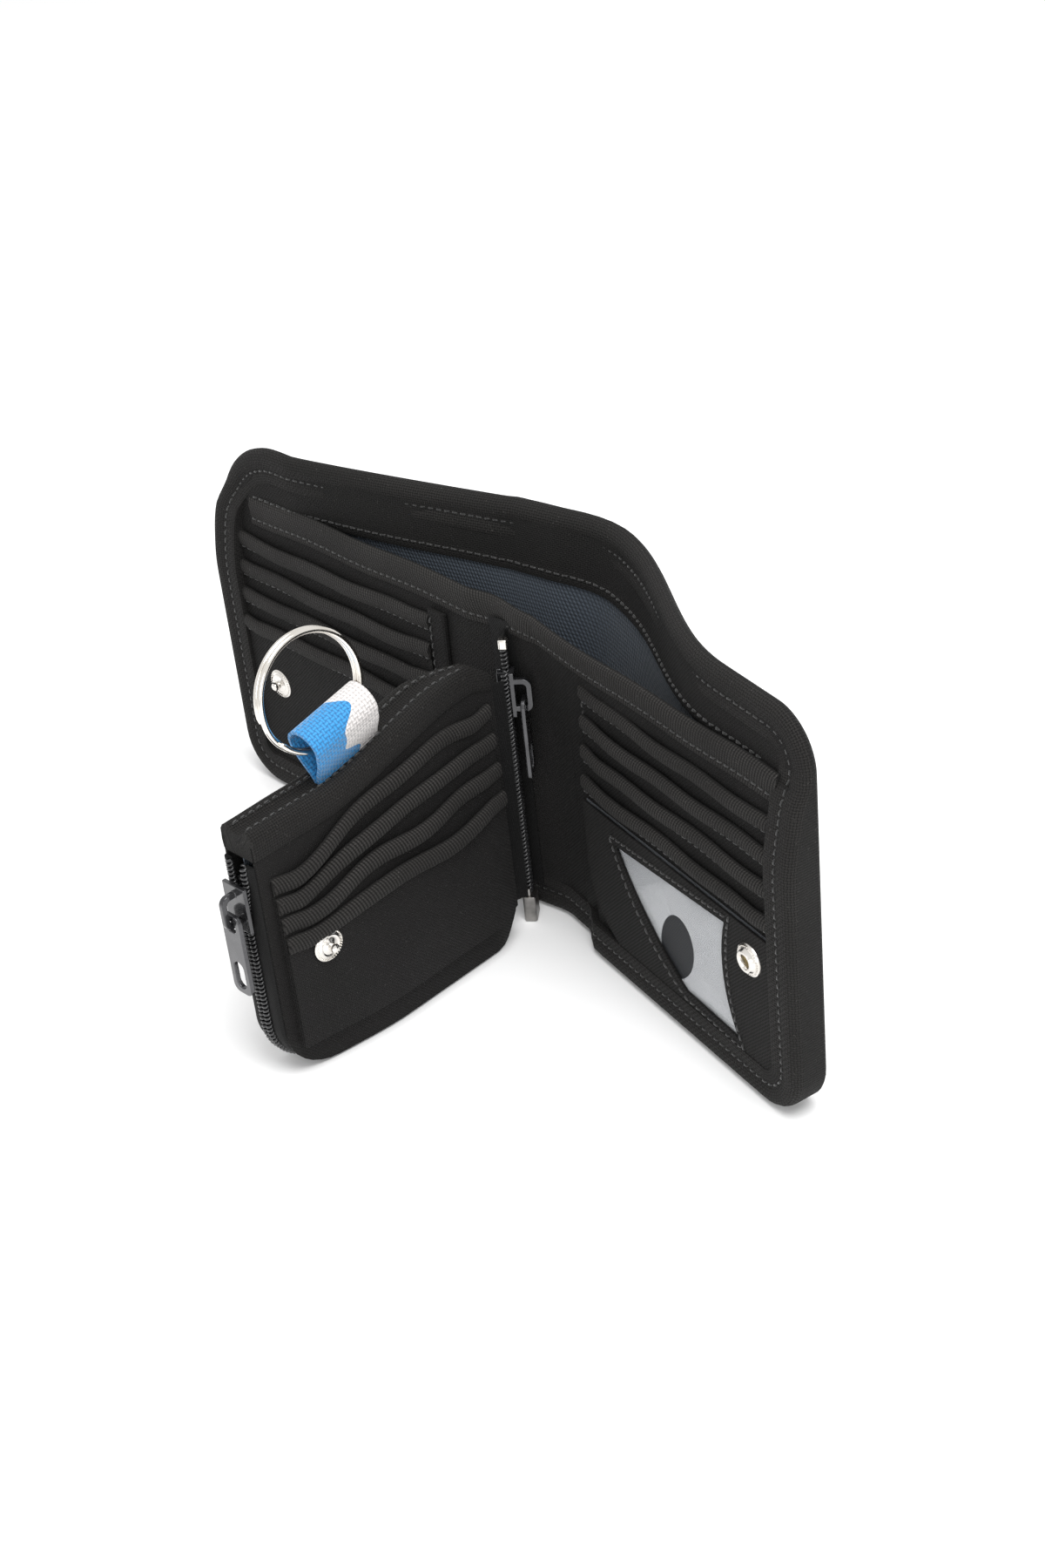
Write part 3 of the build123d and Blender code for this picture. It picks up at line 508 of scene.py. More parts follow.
def cloth_map(tree):
    node = tree.nodes.new("ShaderNodeUVMap")
    node.uv_map = "cloth"
    return node.outputs[0]


def mix_color(tree, factor, a, b):
    node = tree.nodes.new("ShaderNodeMix")
    node.data_type = "RGBA"
    for socket, value in ((node.inputs[0], factor), (node.inputs[6], a), (node.inputs[7], b)):
        if isinstance(value, (tuple, int, float)):
            socket.default_value = value
        else:
            tree.links.new(value, socket)
    return node.outputs[2]


def add_bump(tree, shader, height_socket, strength, distance):
    bump = tree.nodes.new("ShaderNodeBump")
    bump.inputs["Strength"].default_value = strength
    bump.inputs["Distance"].default_value = distance
    tree.links.new(height_socket, bump.inputs["Height"])
    tree.links.new(bump.outputs[0], shader.inputs["Normal"])


def woven(name, key, threads, thread_gap_shade, light, faded, bump, rough=0.85, sheen=0.02, label="Threads",
          glints=0.5):
    """Cloth from a weave group: painted shade between threads, painted highlight on them, faded in
    patches, painted glints.
    """
    material, tree, shader = start_material(name, rough=rough, sheen=sheen, spec=0.14)
    weave = use_group(tree, key, **{label: threads})
    tree.links.new(cloth_map(tree), weave.inputs["Map"])
    wear_and_glints = use_group(tree, "wear_and_glints", Scale=38.0, Lint=glints)
    # The weave's height paints the colour: dark between threads as painted shade, light on their
    # tops as painted highlight.
    base = mix_color(tree, weave.outputs["Height"], thread_gap_shade, light)
    worn = mix_color(tree, math(tree, "MULTIPLY", wear_and_glints.outputs["Patch"], 0.55), base, faded)
    # Pale specks four times the thread colour: painted glints on single fibres.
    glint_spot = tuple(min(c * 4, 1) for c in light[:3]) + (1,)
    tree.links.new(mix_color(tree, wear_and_glints.outputs["Lint"], worn, glint_spot), shader.inputs["Base Color"])
    roughness = math(tree, "ADD", math(tree, "MULTIPLY", weave.outputs["Height"], -0.12), rough)
    tree.links.new(roughness, shader.inputs["Roughness"])
    add_bump(tree, shader, weave.outputs["Height"], bump, 0.25 * mm)
    return material


# %% Cloth materials
def grey(value):
    return (value, value, value, 1)


canvas = woven("black_canvas", "weave", 1700.0, grey(0.0005), (0.0135, 0.0128, 0.0122, 1),
               (0.0062, 0.0059, 0.0056, 1), 1.0)
coarse = woven("binding_canvas", "weave", 1250.0, grey(0.0005), (0.020, 0.019, 0.018, 1),
               (0.0085, 0.0081, 0.0077, 1), 1.0)
ribbed = woven("ribbed_tape", "ribs", 1000.0, grey(0.0003), (0.040, 0.038, 0.036, 1),
               (0.0105, 0.0100, 0.0095, 1), 1.0, label="Ribs", glints=0.25)
lining = woven("blue_grey_twill", "twill", 900.0, (0.008, 0.0105, 0.014, 1),
               (0.085, 0.102, 0.125, 1), (0.05, 0.06, 0.075, 1), 0.8, rough=0.4, sheen=0.1,
               glints=0.0)
backing = woven("grey_twill", "twill", 1300.0, (0.03, 0.033, 0.04, 1), (0.19, 0.20, 0.225, 1),
                (0.12, 0.13, 0.145, 1), 0.6, rough=0.5, sheen=0.2, glints=0.0)
# Darker twill for the painted shade in the window's notch.
slot_shade_twill = woven("shaded_twill", "twill", 1300.0, (0.008, 0.009, 0.010, 1),
                   (0.036, 0.038, 0.042, 1), (0.024, 0.025, 0.028, 1), 0.5, rough=0.6, glints=0.0)
tape = woven("zip_tape_cloth", "ribs", 1700.0, grey(0.001), grey(0.009), grey(0.007), 0.6,
             rough=0.75, label="Ribs", glints=0.1)


def make_thread():
    material, tree, shader = start_material("black_thread", rough=0.5, sheen=0.3, spec=0.5)
    wear_and_glints = use_group(tree, "wear_and_glints", Scale=260.0, Lint=0.0)
    color = mix_color(tree, wear_and_glints.outputs["Patch"], grey(0.0025), (0.0095, 0.009, 0.0085, 1))
    tree.links.new(color, shader.inputs["Base Color"])
    return material


thread = make_thread()


# %% [markdown]
# Metal and plastic get most of their look from reflections. Nickel is a bright metal with a
# warm tint and soft worn patches; the sliders are glossy black enamel that has rubbed a
# little grey; the coils are nylon wire with a soft gloss; the film is clear vinyl.


# %% Metal, plastic and film
def metal(name, color, worn, rough, coat=0.0, metallic=1.0, scale=180.0):
    material, tree, shader = start_material(name, rough=rough, metallic=metallic, coat=coat)
    wear_and_glints = use_group(tree, "wear_and_glints", Scale=scale, Lint=0.0)
    tree.links.new(mix_color(tree, wear_and_glints.outputs["Patch"], color, worn), shader.inputs["Base Color"])
    low = math(tree, "MULTIPLY", wear_and_glints.outputs["Patch"], 0.14)
    tree.links.new(math(tree, "ADD", low, rough), shader.inputs["Roughness"])
    add_bump(tree, shader, wear_and_glints.outputs["Patch"], 0.05, 0.05 * mm)
    return material


nickel = metal("nickel_plate", (0.80, 0.775, 0.74, 1), (0.66, 0.63, 0.585, 1), 0.13)
steel = metal("ring_steel", (0.84, 0.81, 0.76, 1), (0.70, 0.66, 0.60, 1), 0.09, scale=90.0)
brass = metal("brass_core", (0.34, 0.27, 0.12, 1), (0.22, 0.17, 0.08, 1), 0.3)
dull = metal("box_metal_plate", (0.34, 0.33, 0.315, 1), (0.16, 0.155, 0.15, 1), 0.3)
enamel = metal("gunmetal_enamel", (0.030, 0.030, 0.033, 1), (0.055, 0.055, 0.058, 1), 0.2,
               coat=0.7, metallic=0.75)
tab_metal = metal("pull_enamel", (0.045, 0.045, 0.048, 1), (0.085, 0.085, 0.09, 1), 0.2,
                  coat=0.6, metallic=0.85)
nylon = metal("coil_nylon", (0.012, 0.012, 0.013, 1), (0.022, 0.022, 0.023, 1), 0.26,
              coat=0.35, metallic=0.0, scale=300.0)


def make_film():
    material, tree, shader = start_material("clear_vinyl", rough=0.07, spec=0.8)
    shader.inputs["Base Color"].default_value = (0.86, 0.88, 0.90, 1)
    shader.inputs["IOR"].default_value = 1.5
    cloud = use_group(tree, "wear_and_glints", Scale=28.0, Lint=0.0)
    haze = math(tree, "ADD", math(tree, "MULTIPLY", cloud.outputs["Patch"], 0.16), 0.16)
    tree.links.new(haze, shader.inputs["Alpha"])
    add_bump(tree, shader, cloud.outputs["Patch"], 0.35, 0.6 * mm)
    return material


film = make_film()


# %% [markdown]
# ## Camera, floor and light
# The camera stands in front on the right and looks down into the open wallet. The floor and
# the world are near white, with one large soft light above and a weaker one in front, which
# is how small goods are shot for a shop.

# %% Camera and stage
EYE = Vector((373.6, -437.7, 414.5)) * mm
YAW, PITCH, ROLL = radians(40.5), radians(32.9), radians(-6.4)
ahead = Vector((-sin(YAW) * cos(PITCH), cos(YAW) * cos(PITCH), -sin(PITCH)))
level = Vector((cos(YAW), sin(YAW), 0))
above = level.cross(ahead)
right_hand = level * cos(ROLL) + above * sin(ROLL)
top_hand = above * cos(ROLL) - level * sin(ROLL)
lens = bpy.data.cameras.new("camera")
lens.lens = 54.6
lens.sensor_width = 36
lens.clip_start = 0.01
camera = new_object("camera", lens)
turn = Matrix((right_hand, top_hand, -ahead)).transposed().to_4x4()
camera.matrix_world = Matrix.Translation(EYE) @ turn
bpy.context.scene.camera = camera

floor_mesh = bpy.data.meshes.new("floor")
span = 40.0
corners = [(-span, -span, 0), (span, -span, 0), (span, span, 0), (-span, span, 0)]
floor_mesh.from_pydata(corners, [], [(0, 1, 2, 3)])
floor = new_object("floor", floor_mesh)
floor.location.z = -0.2 * mm
floor_paint, _, floor_shader = start_material("pale_floor", rough=0.9, spec=0.1)
floor_shader.inputs["Base Color"].default_value = grey(0.93)
paint(floor, floor_paint)

world = bpy.data.worlds.new("studio")
bpy.context.scene.world = world
world.use_nodes = True
sky = world.node_tree.nodes["Background"]
sky.inputs["Color"].default_value = grey(1)
sky.inputs["Strength"].default_value = 0.95
bpy.context.scene.view_settings.view_transform = "Standard"


def area_light(name, where, target, size, power):
    light = bpy.data.lights.new(name, "AREA")
    light.shape = "DISK"
    light.size = size
    light.energy = power
    lamp = new_object(name, light)
    lamp.location = where
    lamp.rotation_euler = (Vector(target) - Vector(where)).to_track_quat("-Z", "Y").to_euler()


area_light("key", (0.35, -0.15, 0.95), (0, 0, 0.05), 0.7, 9.0)
area_light("fill", (0.9, -0.9, 0.5), (0, 0, 0.05), 0.6, 3.0)
print("camera", [round(c, 3) for c in camera.location])

# %% [markdown]
# ## The shell
# Cover cloth, board and lining are sewn into one stiff sheet. From behind it is canvas, from
# inside it is blue-grey nylon. Each side runs to the spine's middle and bends at its fold.

# %% Shell sheets
FACE_BACK, FACE_IN = 5.0 * mm, 2.2 * mm      # shell's outside and inside, at the floor
top_corner = {-1: 31 * mm, 1: corner}        # the left panel's upper corner is much rounder


def rounded_reach(t, rim, whole=corner):
    """How far the outline stands in from the level edge, rim inside it, at t along the wallet."""
    radius = whole - rim
    past = abs(t) - (edge - whole)
    if past <= 0:
        return rim
    return whole - sqrt(max(radius * radius - past * past, 0))


def top_reach(t, rim):
    return rounded_reach(t, rim, top_corner[-1 if t < 0 else 1])


def along_list(side, rim, step):
    """Stations from the spine's middle to a panel's edge, closer round the corner."""
    first = spread(0, edge - corner, step)
    steps = 12
    arc = [edge - corner + (corner - rim) * sin(k * pi / 2 / steps) for k in range(1, steps + 1)]
    return [side * t for t in first + arc]


def shell_point(t, z, n):
    ripple = 0.35 * mm * sin(t * 95 + z * 40) * smooth((edge - abs(t)) / (25 * mm))
    return place(t, n + stand_off(t, z) + ripple, z, SHELL_SOFT)


def make_shell(side, name):
    rim = 1.6 * mm
    us = along_list(side, rim, 3 * mm)
    lows = [rounded_reach(t, rim) for t in us]
    highs = [height - top_reach(t, rim) for t in us]
    vs = spread(0, 1, 0.03)
    thick = FACE_BACK - FACE_IN
    piece = paint(slab(name + "_shell", us, vs, lambda t, z, n: shell_point(t, z, FACE_IN + n),
                       thick, lows, highs), lining, canvas)
    for face in piece.data.polygons:
        outside = face.index % 2 == 1 and face.index < 2 * (len(us) - 1) * (len(vs) - 1)
        face.material_index = 1 if outside else 0
    return piece


def blend_side(piece):
    """Bake a piece's transform into its mesh."""
    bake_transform(piece)
    return piece


SIDES = ((-1, "left"), (1, "right"))
for side, name in SIDES:
    shell = blend_side(make_shell(side, name))
    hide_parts(name + "_cover", name + "_stiffener", name + "_lining")
    if side < 0:
        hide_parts("spine_cover", "spine_lining")
print("two shell sheets, each", round(edge / mm), "x", round(height / mm), "mm")


# %% [markdown]
# ## Facing inside the bill pocket
# A band of canvas hides the lining along the top of the bill pocket. Its lower edge is turned
# under and sewn, so it has a small roll and a row of stitches.


# %% Facing bands
def facing_point(t, z, n):
    roll = 0.5 * mm * smooth(1 - abs(z - (height - 19 * mm)) / (1.6 * mm))
    return shell_point(t, z, FACE_IN - 0.7 * mm + n - roll * (1 if n < 0.1 * mm else 0))


for side, name in SIDES:
    us = along_list(side, 2 * mm, 3 * mm)
    foot = height - 20 * mm
    us = [t for t in us if height - top_reach(t, 2 * mm) > foot + 3 * mm]
    lows = [foot for t in us]
    highs = [height - top_reach(t, 2 * mm) for t in us]
    facing = paint(slab(name + "_facing_band", us, spread(0, 1, 0.07), facing_point, 0.6 * mm,
                        lows, highs), canvas)
    blend_side(facing)
    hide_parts(name + "_facing")
    line = [(shell_point(t, foot + 2.4 * mm, FACE_IN - 0.9 * mm),
             place(t, 0, 0, SHELL_SOFT) - place(t, 1, 0, SHELL_SOFT))
            for t in spread(0, side * (edge - 18 * mm), 3 * mm)]
    blend_side(seam(name + "_facing_stitches", line))


# %% [markdown]
# ## Rolled binding
# The binding is a strip of heavier canvas folded over the edge. Its rim is a plump roll; the
# inner half lies flat under a groove where the seam pulls it down. A profile is swept along
# the outline, in the panel's own coordinates, so it follows the bow of the shell.


# %% Binding profile and sweep
def outline(side):
    """Path round a panel's free edges: (t, z, inward t, inward z), from spine to spine."""
    path = []
    for t in spread(0, edge - corner, 3 * mm):
        path.append((t, 0.0, 0.0, 1.0))
    steps = 9
    for k in range(1, steps + 1):
        a = k * pi / 2 / steps
        path.append((edge - corner + corner * sin(a), corner - corner * cos(a), -sin(a), cos(a)))
    top = top_corner[side]
    for z in spread(corner, height - top, 3 * mm)[1:]:
        path.append((edge, z, -1.0, 0.0))
    turns = 2 * steps
    for k in range(1, turns + 1):
        a = k * pi / 2 / turns
        path.append((edge - top + top * cos(a), height - top + top * sin(a), -cos(a), -sin(a)))
    for t in spread(edge - top, 0, 3 * mm)[1:]:
        path.append((t, height, 0.0, -1.0))
    return [(side * t, z, side * a, b) for t, z, a, b in path]


# Half of the profile, from the rim inwards: distance from the rim, and how proud it stands.
RIM = ((0.0, -2.2), (0.25, -1.1), (0.9, -0.2), (2.0, 0.45), (3.3, 0.62), (4.6, 0.42),
       (5.7, -0.02), (6.5, -0.32), (7.3, -0.12), (8.6, 0.1), (10.2, 0.08), (10.9, -0.15),
       (11.0, -0.6))
SEAM_IN = 6.6                                # the seam's distance from the rim
stack_rise = 4.1 * mm                        # the binding also wraps the ends of the pockets


def binding_faces(t, z):
    """Front and back of what the binding wraps, at a point of the panel."""
    over_top = smooth((z - (inner_top - 7 * mm)) / (9 * mm))
    over_stack = smooth((abs(t) - half - 10 * mm) / (10 * mm))
    over_stack *= smooth((inner_top + 4 * mm - z) / (32 * mm))
    front = -0.75 * mm - stack_rise * over_stack + over_top * 2.3 * mm + stand_off(t, z) * over_top
    by_zip = (1 - smooth((abs(t - 4 * mm) - 5 * mm) / (6 * mm))) * (1 - smooth(z / (30 * mm)))
    back = FACE_BACK + 0.45 * mm + stand_off(t, z)
    return front + 0.9 * mm * by_zip, back


def fold_soft(z):
    """The shell turns over a longer way above than the stacked cloth does at the foot."""
    return SHELL_SOFT if z > height / 2 else 5 * mm


def make_binding(side, name):
    rings = []
    for t, z, a, b in outline(side):
        ring = []
        for face, profile in ((-1, RIM), (1, RIM[:0:-1])):
            for w, proud in profile:
                tt, zz = t + a * w * mm, z + b * w * mm
                front, back = binding_faces(tt, zz)
                middle = (front + back) / 2
                if face < 0:
                    n = min(front - proud * mm, middle - 0.1 * mm)
                else:
                    n = max(back + proud * mm, middle + 0.1 * mm)
                ring.append(place(tt, n, zz, fold_soft(z)))
        rings.append(ring)
    return sweep(name + "_edge_binding", rings)


def binding_seam(side, name, back_side):
    points = []
    for t, z, a, b in outline(side):
        tt, zz = t + a * SEAM_IN * mm, z + b * SEAM_IN * mm
        front, back = binding_faces(tt, zz)
        soft = fold_soft(z)
        n = back - 0.25 * mm if back_side else front + 0.25 * mm
        out = place(tt, 1, zz, soft) - place(tt, 0, zz, soft)
        points.append((place(tt, n, zz, soft), out if back_side else -out))
    return seam(name + ("_binding_stitches_back" if back_side else "_binding_stitches"), points)


for side, name in SIDES:
    binding = paint(make_binding(side, name), coarse)
    blend_side(binding)
    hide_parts(name + "_binding")
    if side < 0:
        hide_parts("spine_top_binding", "spine_bottom_binding")
    for back_side in (False, True):
        blend_side(binding_seam(side, name, back_side))
print("binding swept round", len(outline(1)), "stations a side")

# %% [markdown]
# ## Inner panels and their hem
# The inner cloth makes the front wall of the bill pocket. Its upper edge is bound with ribbed
# tape, folded over to both faces. The hem runs in one piece past both folds.


# %% Inner panels
def inner_sag(t, z):
    """The free upper edge stands a little back on the left and is drawn in past the spine."""
    u = t - half
    back = 1.4 * mm * (1 - smooth((t + 8 * mm) / (14 * mm)))
    drawn = -4.6 * mm * smooth((t + 6 * mm) / (22 * mm)) * (1 - smooth(max(u, 0) / (108 * mm)))
    return (back + drawn) * (min(z, inner_top) / inner_top) ** 5


def inner_point(t, z, n):
    return place(t, n + inner_sag(t, z), z)


for side, name in SIDES:
    us = along_list(side, 3 * mm, 3 * mm)
    lows = [rounded_reach(t, 3 * mm) for t in us]
    highs = [min(inner_top - 1.5 * mm, height - top_reach(t, 4 * mm)) for t in us]
    inner = paint(slab(name + "_inner_cloth", us, spread(0, 1, 0.04), inner_point, 0.8 * mm,
                       lows, highs), canvas)
    blend_side(inner)
    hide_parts(name + "_inner_panel")
    if side < 0:
        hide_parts("spine_inner_panel")


# %% Ribbed hem
# Half of the hem's profile: distance under the top edge, and how proud it stands.
HEM = ((0.0, -0.35), (0.35, 0.1), (1.2, 0.62), (2.6, 0.8), (4.6, 0.7), (6.3, 0.38), (7.2, 0.12),
       (8.2, 0.38), (9.2, 0.34), (9.5, 0.0))
hem_end = {-1: edge - 16.5 * mm, 1: edge - 9.5 * mm}


def hem_top(t):
    """The hem's upper edge waves a little."""
    return inner_top + 0.35 * mm * sin(t * 130)


def make_hem(side, name):
    rings = []
    for t in spread(0, side * hem_end[side], 2.5 * mm):
        top = hem_top(t)
        ring = [inner_point(t, top - d * mm, -proud * mm) for d, proud in HEM]
        ring += [inner_point(t, top - d * mm, (0.8 + max(proud, 0.05)) * mm)
                 for d, proud in reversed(HEM)]
        rings.append(ring)
    return sweep(name + "_ribbed_hem", rings)


for side, name in SIDES:
    hem = paint(make_hem(side, name), ribbed)
    blend_side(hem)
    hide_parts(name + "_hem")
    if side < 0:
        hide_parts("spine_hem")
    depth = 7.2 * mm
    line = [(inner_point(t, hem_top(t) - depth, -0.2 * mm),
             (inner_point(t, 0, -1) - inner_point(t, 0, 0)).normalized())
            for t in spread(0, side * hem_end[side], 3 * mm)]
    blend_side(seam(name + "_hem_stitches", line))
print("hem runs", round(sum(hem_end.values()) / mm), "mm")

# %% [markdown]
# ## Card pockets
# Each pocket is a flat piece of canvas whose mouth is bound with ribbed tape. Worn mouths do
# not lie flat: they wave and gape. The wave differs from one pocket to the next.

# %% Pocket sizes
pocket_near = {-1: 16 * mm, 1: 19.5 * mm}
pocket_far = panel - binding_wide + 3 * mm     # the ends go under the binding
lip_pitch = 9.3 * mm
first_lip = inner_top - 13.1 * mm
pile = 0.9 * mm


def panel_point(side, u, z, proud):
    """Point on a panel: u from the fold, proud is how far it stands into the wallet."""
    t = side * (half + u)
    return place(t, inner_sag(t, z) * 0.6 - proud, z, 2 * mm)


def away(here, u):
    """Direction out of a panel at u, for its place function here(u, z, proud)."""
    return (here(u, 0, 1) - here(u, 0, 0)).normalized()


# Half of a lip's profile: distance under the mouth, and how proud it stands.
LIP = ((0.0, 0.05), (0.25, 0.55), (0.9, 1.0), (2.1, 1.25), (3.4, 1.1), (4.5, 0.65), (5.1, 0.2),
       (5.4, -0.1))


def gape(share, seed):
    """How far a pocket's mouth waves forward, 0 at its sewn ends."""
    hold = smooth(share / 0.12) * smooth((1 - share) / 0.12)
    return hold * (0.55 + 0.45 * sin(share * 11 + seed * 2.1) * sin(share * 5 + seed))


def make_pocket(name, point, near, far, lip, foot, proud, seed, slant=None, tucked=0.0,
                slack=1.1 * mm):
    """Cloth front and rolled lip of one pocket; point(u, z, proud) is a place on the panel."""
    lip_at = slant or (lambda u: lip)

    def gaping(u):
        return gape((u - near) / (far - near), seed)

    def sag(u):
        return lip_at(u) - 0.7 * mm * gaping(u)

    def front(u, z, n):
        under = smooth((lip_at(u) - z) / (9 * mm))
        open_by = slack * gaping(u) * (1 - under)
        return point(u, z, proud + (0.55 - tucked * under) * mm + open_by - n)

    us = spread(near, far, 2.5 * mm)
    lows = [foot for u in us]
    highs = [sag(u) - 0.5 * mm for u in us]
    cloth = paint(slab(name + "_cloth", us, spread(0, 1, 0.06), front, 0.5 * mm,
                       lows, highs), canvas)
    rings = []
    for u in spread(near, far, 1.6 * mm):
        base = proud + slack * gaping(u)
        ring = [point(u, sag(u) - d * mm, base + (0.5 + out) * mm) for d, out in LIP]
        ring += [point(u, sag(u) - d * mm, base - 0.05 * mm) for d, out in reversed(LIP)]
        rings.append(ring)
    lip_piece = paint(sweep(name + "_lip", rings), ribbed)
    return cloth, lip_piece, sag


# %% Pockets of the side panels
for side, name in SIDES:
    body, near = name + "_panel", pocket_near[side]
    here = lambda u, z, proud, side=side: panel_point(side, u, z, proud)
    for i in range(4):
        lip = first_lip - lip_pitch * i
        foot = max(lip - 54 * mm, binding_wide - 3 * mm)
        label = f"{name}_card_pocket_{i + 1}"
        cloth, lip_piece, sag = make_pocket(label, here, near, pocket_far, lip, foot,
                                            0.3 * mm + pile * i, i + 3 * side,
                                            tucked=0.7 if (side, i) == (1, 3) else 0.0)
        fit(cloth, body, f"{name}_pocket_{i + 1}")
        fit(lip_piece, body)
        line = [(here(u, sag(u) - 4.9 * mm, pile * i + 1.15 * mm), away(here, u))
                for u in spread(near, pocket_far, 3 * mm)]
        fit(seam(label + "_stitches", line), body)
print("eight card pockets with ribbed lips")

# %% [markdown]
# ## Strip beside the left pockets, and the seams at the stack's sides
# The near side of the left stack is covered by a folded strip. On the right, one line of
# stitches holds the stack's near side.


# %% Fold strip
# Section of a folded strip: share of its width, and share of its thickness.
FOLD = ((0, 0.1), (0.02, 0.7), (0.12, 1.0), (0.5, 0.92), (0.8, 1.0), (0.97, 0.7), (1, 0.1))


def make_roll_strip(name, point, x0, x1, z1, proud, thick):
    """A flat folded strip with soft edges: a closed profile swept up from the binding."""
    rings = []
    for z in spread(binding_wide, z1, 3 * mm):
        ring = [point(x0 + (x1 - x0) * s, z, proud + thick * h) for s, h in FOLD]
        rings.append(ring + [point(x1, z, proud), point(x0, z, proud)])
    return paint(sweep(name, rings), canvas)


left_here = lambda u, z, proud: panel_point(-1, u, z, proud)
right_here = lambda u, z, proud: panel_point(1, u, z, proud)
strip = make_roll_strip("left_folded_strip", left_here, 9.0 * mm, 16.4 * mm,
                        first_lip + 2 * mm, 0.2 * mm, 1.3 * mm)
fit(strip, "left_panel", "left_fold_strip")
right_strip = make_roll_strip("right_folded_strip", right_here, 9.4 * mm, 20.2 * mm,
                              first_lip + 1.5 * mm, 0.1 * mm, 0.5 * mm)
fit(right_strip, "right_panel")
for name, here, x, lift in (("left", left_here, 14.9 * mm, 1.5 * mm),
                            ("right", right_here, 18.9 * mm, 0.65 * mm)):
    line = [(here(x, z, lift), away(here, x))
            for z in spread(binding_wide + 1 * mm, first_lip, 3 * mm)]
    fit(seam(name + "_stack_seam", line), name + "_panel")


# %% [markdown]
# ## Identity window
# A canvas frame with a curved opening is sewn over clear film. Behind the film lies grey
# twill, and a half-oval notch in the film lets a thumb push the card out. The frame is drawn
# as a flat outline with a hole, filled, and given thickness.

# %% Outline tools for the window
WINDOW_LEFT, WINDOW_TOP, WINDOW_RIGHT, WINDOW_LOW = 34.5, 46.0, 85.5, 13.5


def arc3(a, b, c, count):
    """Points on the circle through a, b and c, from a to c."""
    (ax, ay), (bx, by), (cx, cy) = a, b, c
    d = 2 * (ax * (by - cy) + bx * (cy - ay) + cx * (ay - by))
    a2, b2, c2 = ax * ax + ay * ay, bx * bx + by * by, cx * cx + cy * cy
    ox = (a2 * (by - cy) + b2 * (cy - ay) + c2 * (ay - by)) / d
    oy = (a2 * (cx - bx) + b2 * (ax - cx) + c2 * (bx - ax)) / d
    r = sqrt((ax - ox) ** 2 + (ay - oy) ** 2)
    t0, t1, t2 = atan2(ay - oy, ax - ox), atan2(by - oy, bx - ox), atan2(cy - oy, cx - ox)
    while t1 < t0:
        t1 += 2 * pi
    while t2 < t0:
        t2 += 2 * pi
    if t1 > t2:
        t2 -= 2 * pi
    return [(ox + r * cos(t0 + (t2 - t0) * k / count), oy + r * sin(t0 + (t2 - t0) * k / count))
            for k in range(count + 1)]


def straight(a, b, count):
    """count points on the line from a towards b, without b itself."""
    return [(a[0] + (b[0] - a[0]) * k / count, a[1] + (b[1] - a[1]) * k / count)
            for k in range(count)]


def window_loop(grow):
    """The window's outline: straight top, slightly waisted right side, long curve at the left."""
    tl = (WINDOW_LEFT - grow, WINDOW_TOP + grow)
    tr = (WINDOW_RIGHT + grow, WINDOW_TOP + 3.5 + grow)
    foot = (WINDOW_RIGHT + 4 + grow, WINDOW_LOW - grow)
    start = (WINDOW_LEFT + 31, WINDOW_LOW + 1 - grow)
    points = straight(tl, tr, 16)
    points += arc3(tr, (WINDOW_RIGHT - 1.5 + grow, 30), foot, 10)[:-1]
    points += straight(foot, start, 8)
    points += arc3(start, (WINDOW_LEFT + 13 - grow, 29 - grow), tl, 16)[:-1]
    return points


def frame_loop():
    """The frame's outer edge, with the big round at its lower corner by the fold."""
    x0, x1, z0, z1, r = pocket_near[1] / mm, pocket_far / mm, 8.3, 53.2, 24.0
    points = [(x0 + r - r * cos(k * pi / 20), z0 + r - r * sin(k * pi / 20)) for k in range(11)]
    points += [(x0 + r + (x1 - x0 - r) * k / 12, z0) for k in range(1, 13)]
    points += [(x1, z0 + (z1 - z0) * k / 8) for k in range(1, 9)]
    points += [(x1 + (x0 - x1) * k / 16, z1) for k in range(1, 17)]
    points += [(x0, z1 + (z0 + r - z1) * k / 5) for k in range(1, 5)]
    return points


def plate(name, outer, holes, here, proud, thick, bevel=0.0):
    """Flat plate with holes from outlines in millimetres, stood on a panel."""
    curve = bpy.data.curves.new(name, "CURVE")
    curve.dimensions = "2D"
    curve.fill_mode = "BOTH"
    curve.extrude = thick / 2
    curve.bevel_depth = bevel
    curve.bevel_resolution = 2
    for points in [outer, *holes]:
        spline = curve.splines.new("POLY")
        spline.points.add(len(points) - 1)
        for point, (x, y) in zip(spline.points, points):
            point.co = (x * mm, y * mm, 0, 1)
        spline.use_cyclic_u = True
    mesh = mesh_of_curve(name, curve)
    work = bmesh.new()
    work.from_mesh(mesh)
    bmesh.ops.remove_doubles(work, verts=work.verts, dist=1e-6)
    bmesh.ops.triangulate(work, faces=work.faces)
    for _ in range(2):
        long = [e for e in work.edges if e.calc_length() > 6 * mm]
        if long:
            bmesh.ops.subdivide_edges(work, edges=long, cuts=1)
            bmesh.ops.triangulate(work, faces=work.faces)
    bmesh.ops.recalc_face_normals(work, faces=work.faces)
    flat = [(v.co.x, v.co.y) for v in work.verts]
    for v in work.verts:
        v.co = here(v.co.x, v.co.y, proud + thick / 2 + v.co.z)
    work.to_mesh(mesh)
    work.free()
    map_cloth(mesh, flat)
    mesh.shade_smooth()
    mesh.set_sharp_from_angle(angle=radians(40))
    return add_piece(name, mesh)


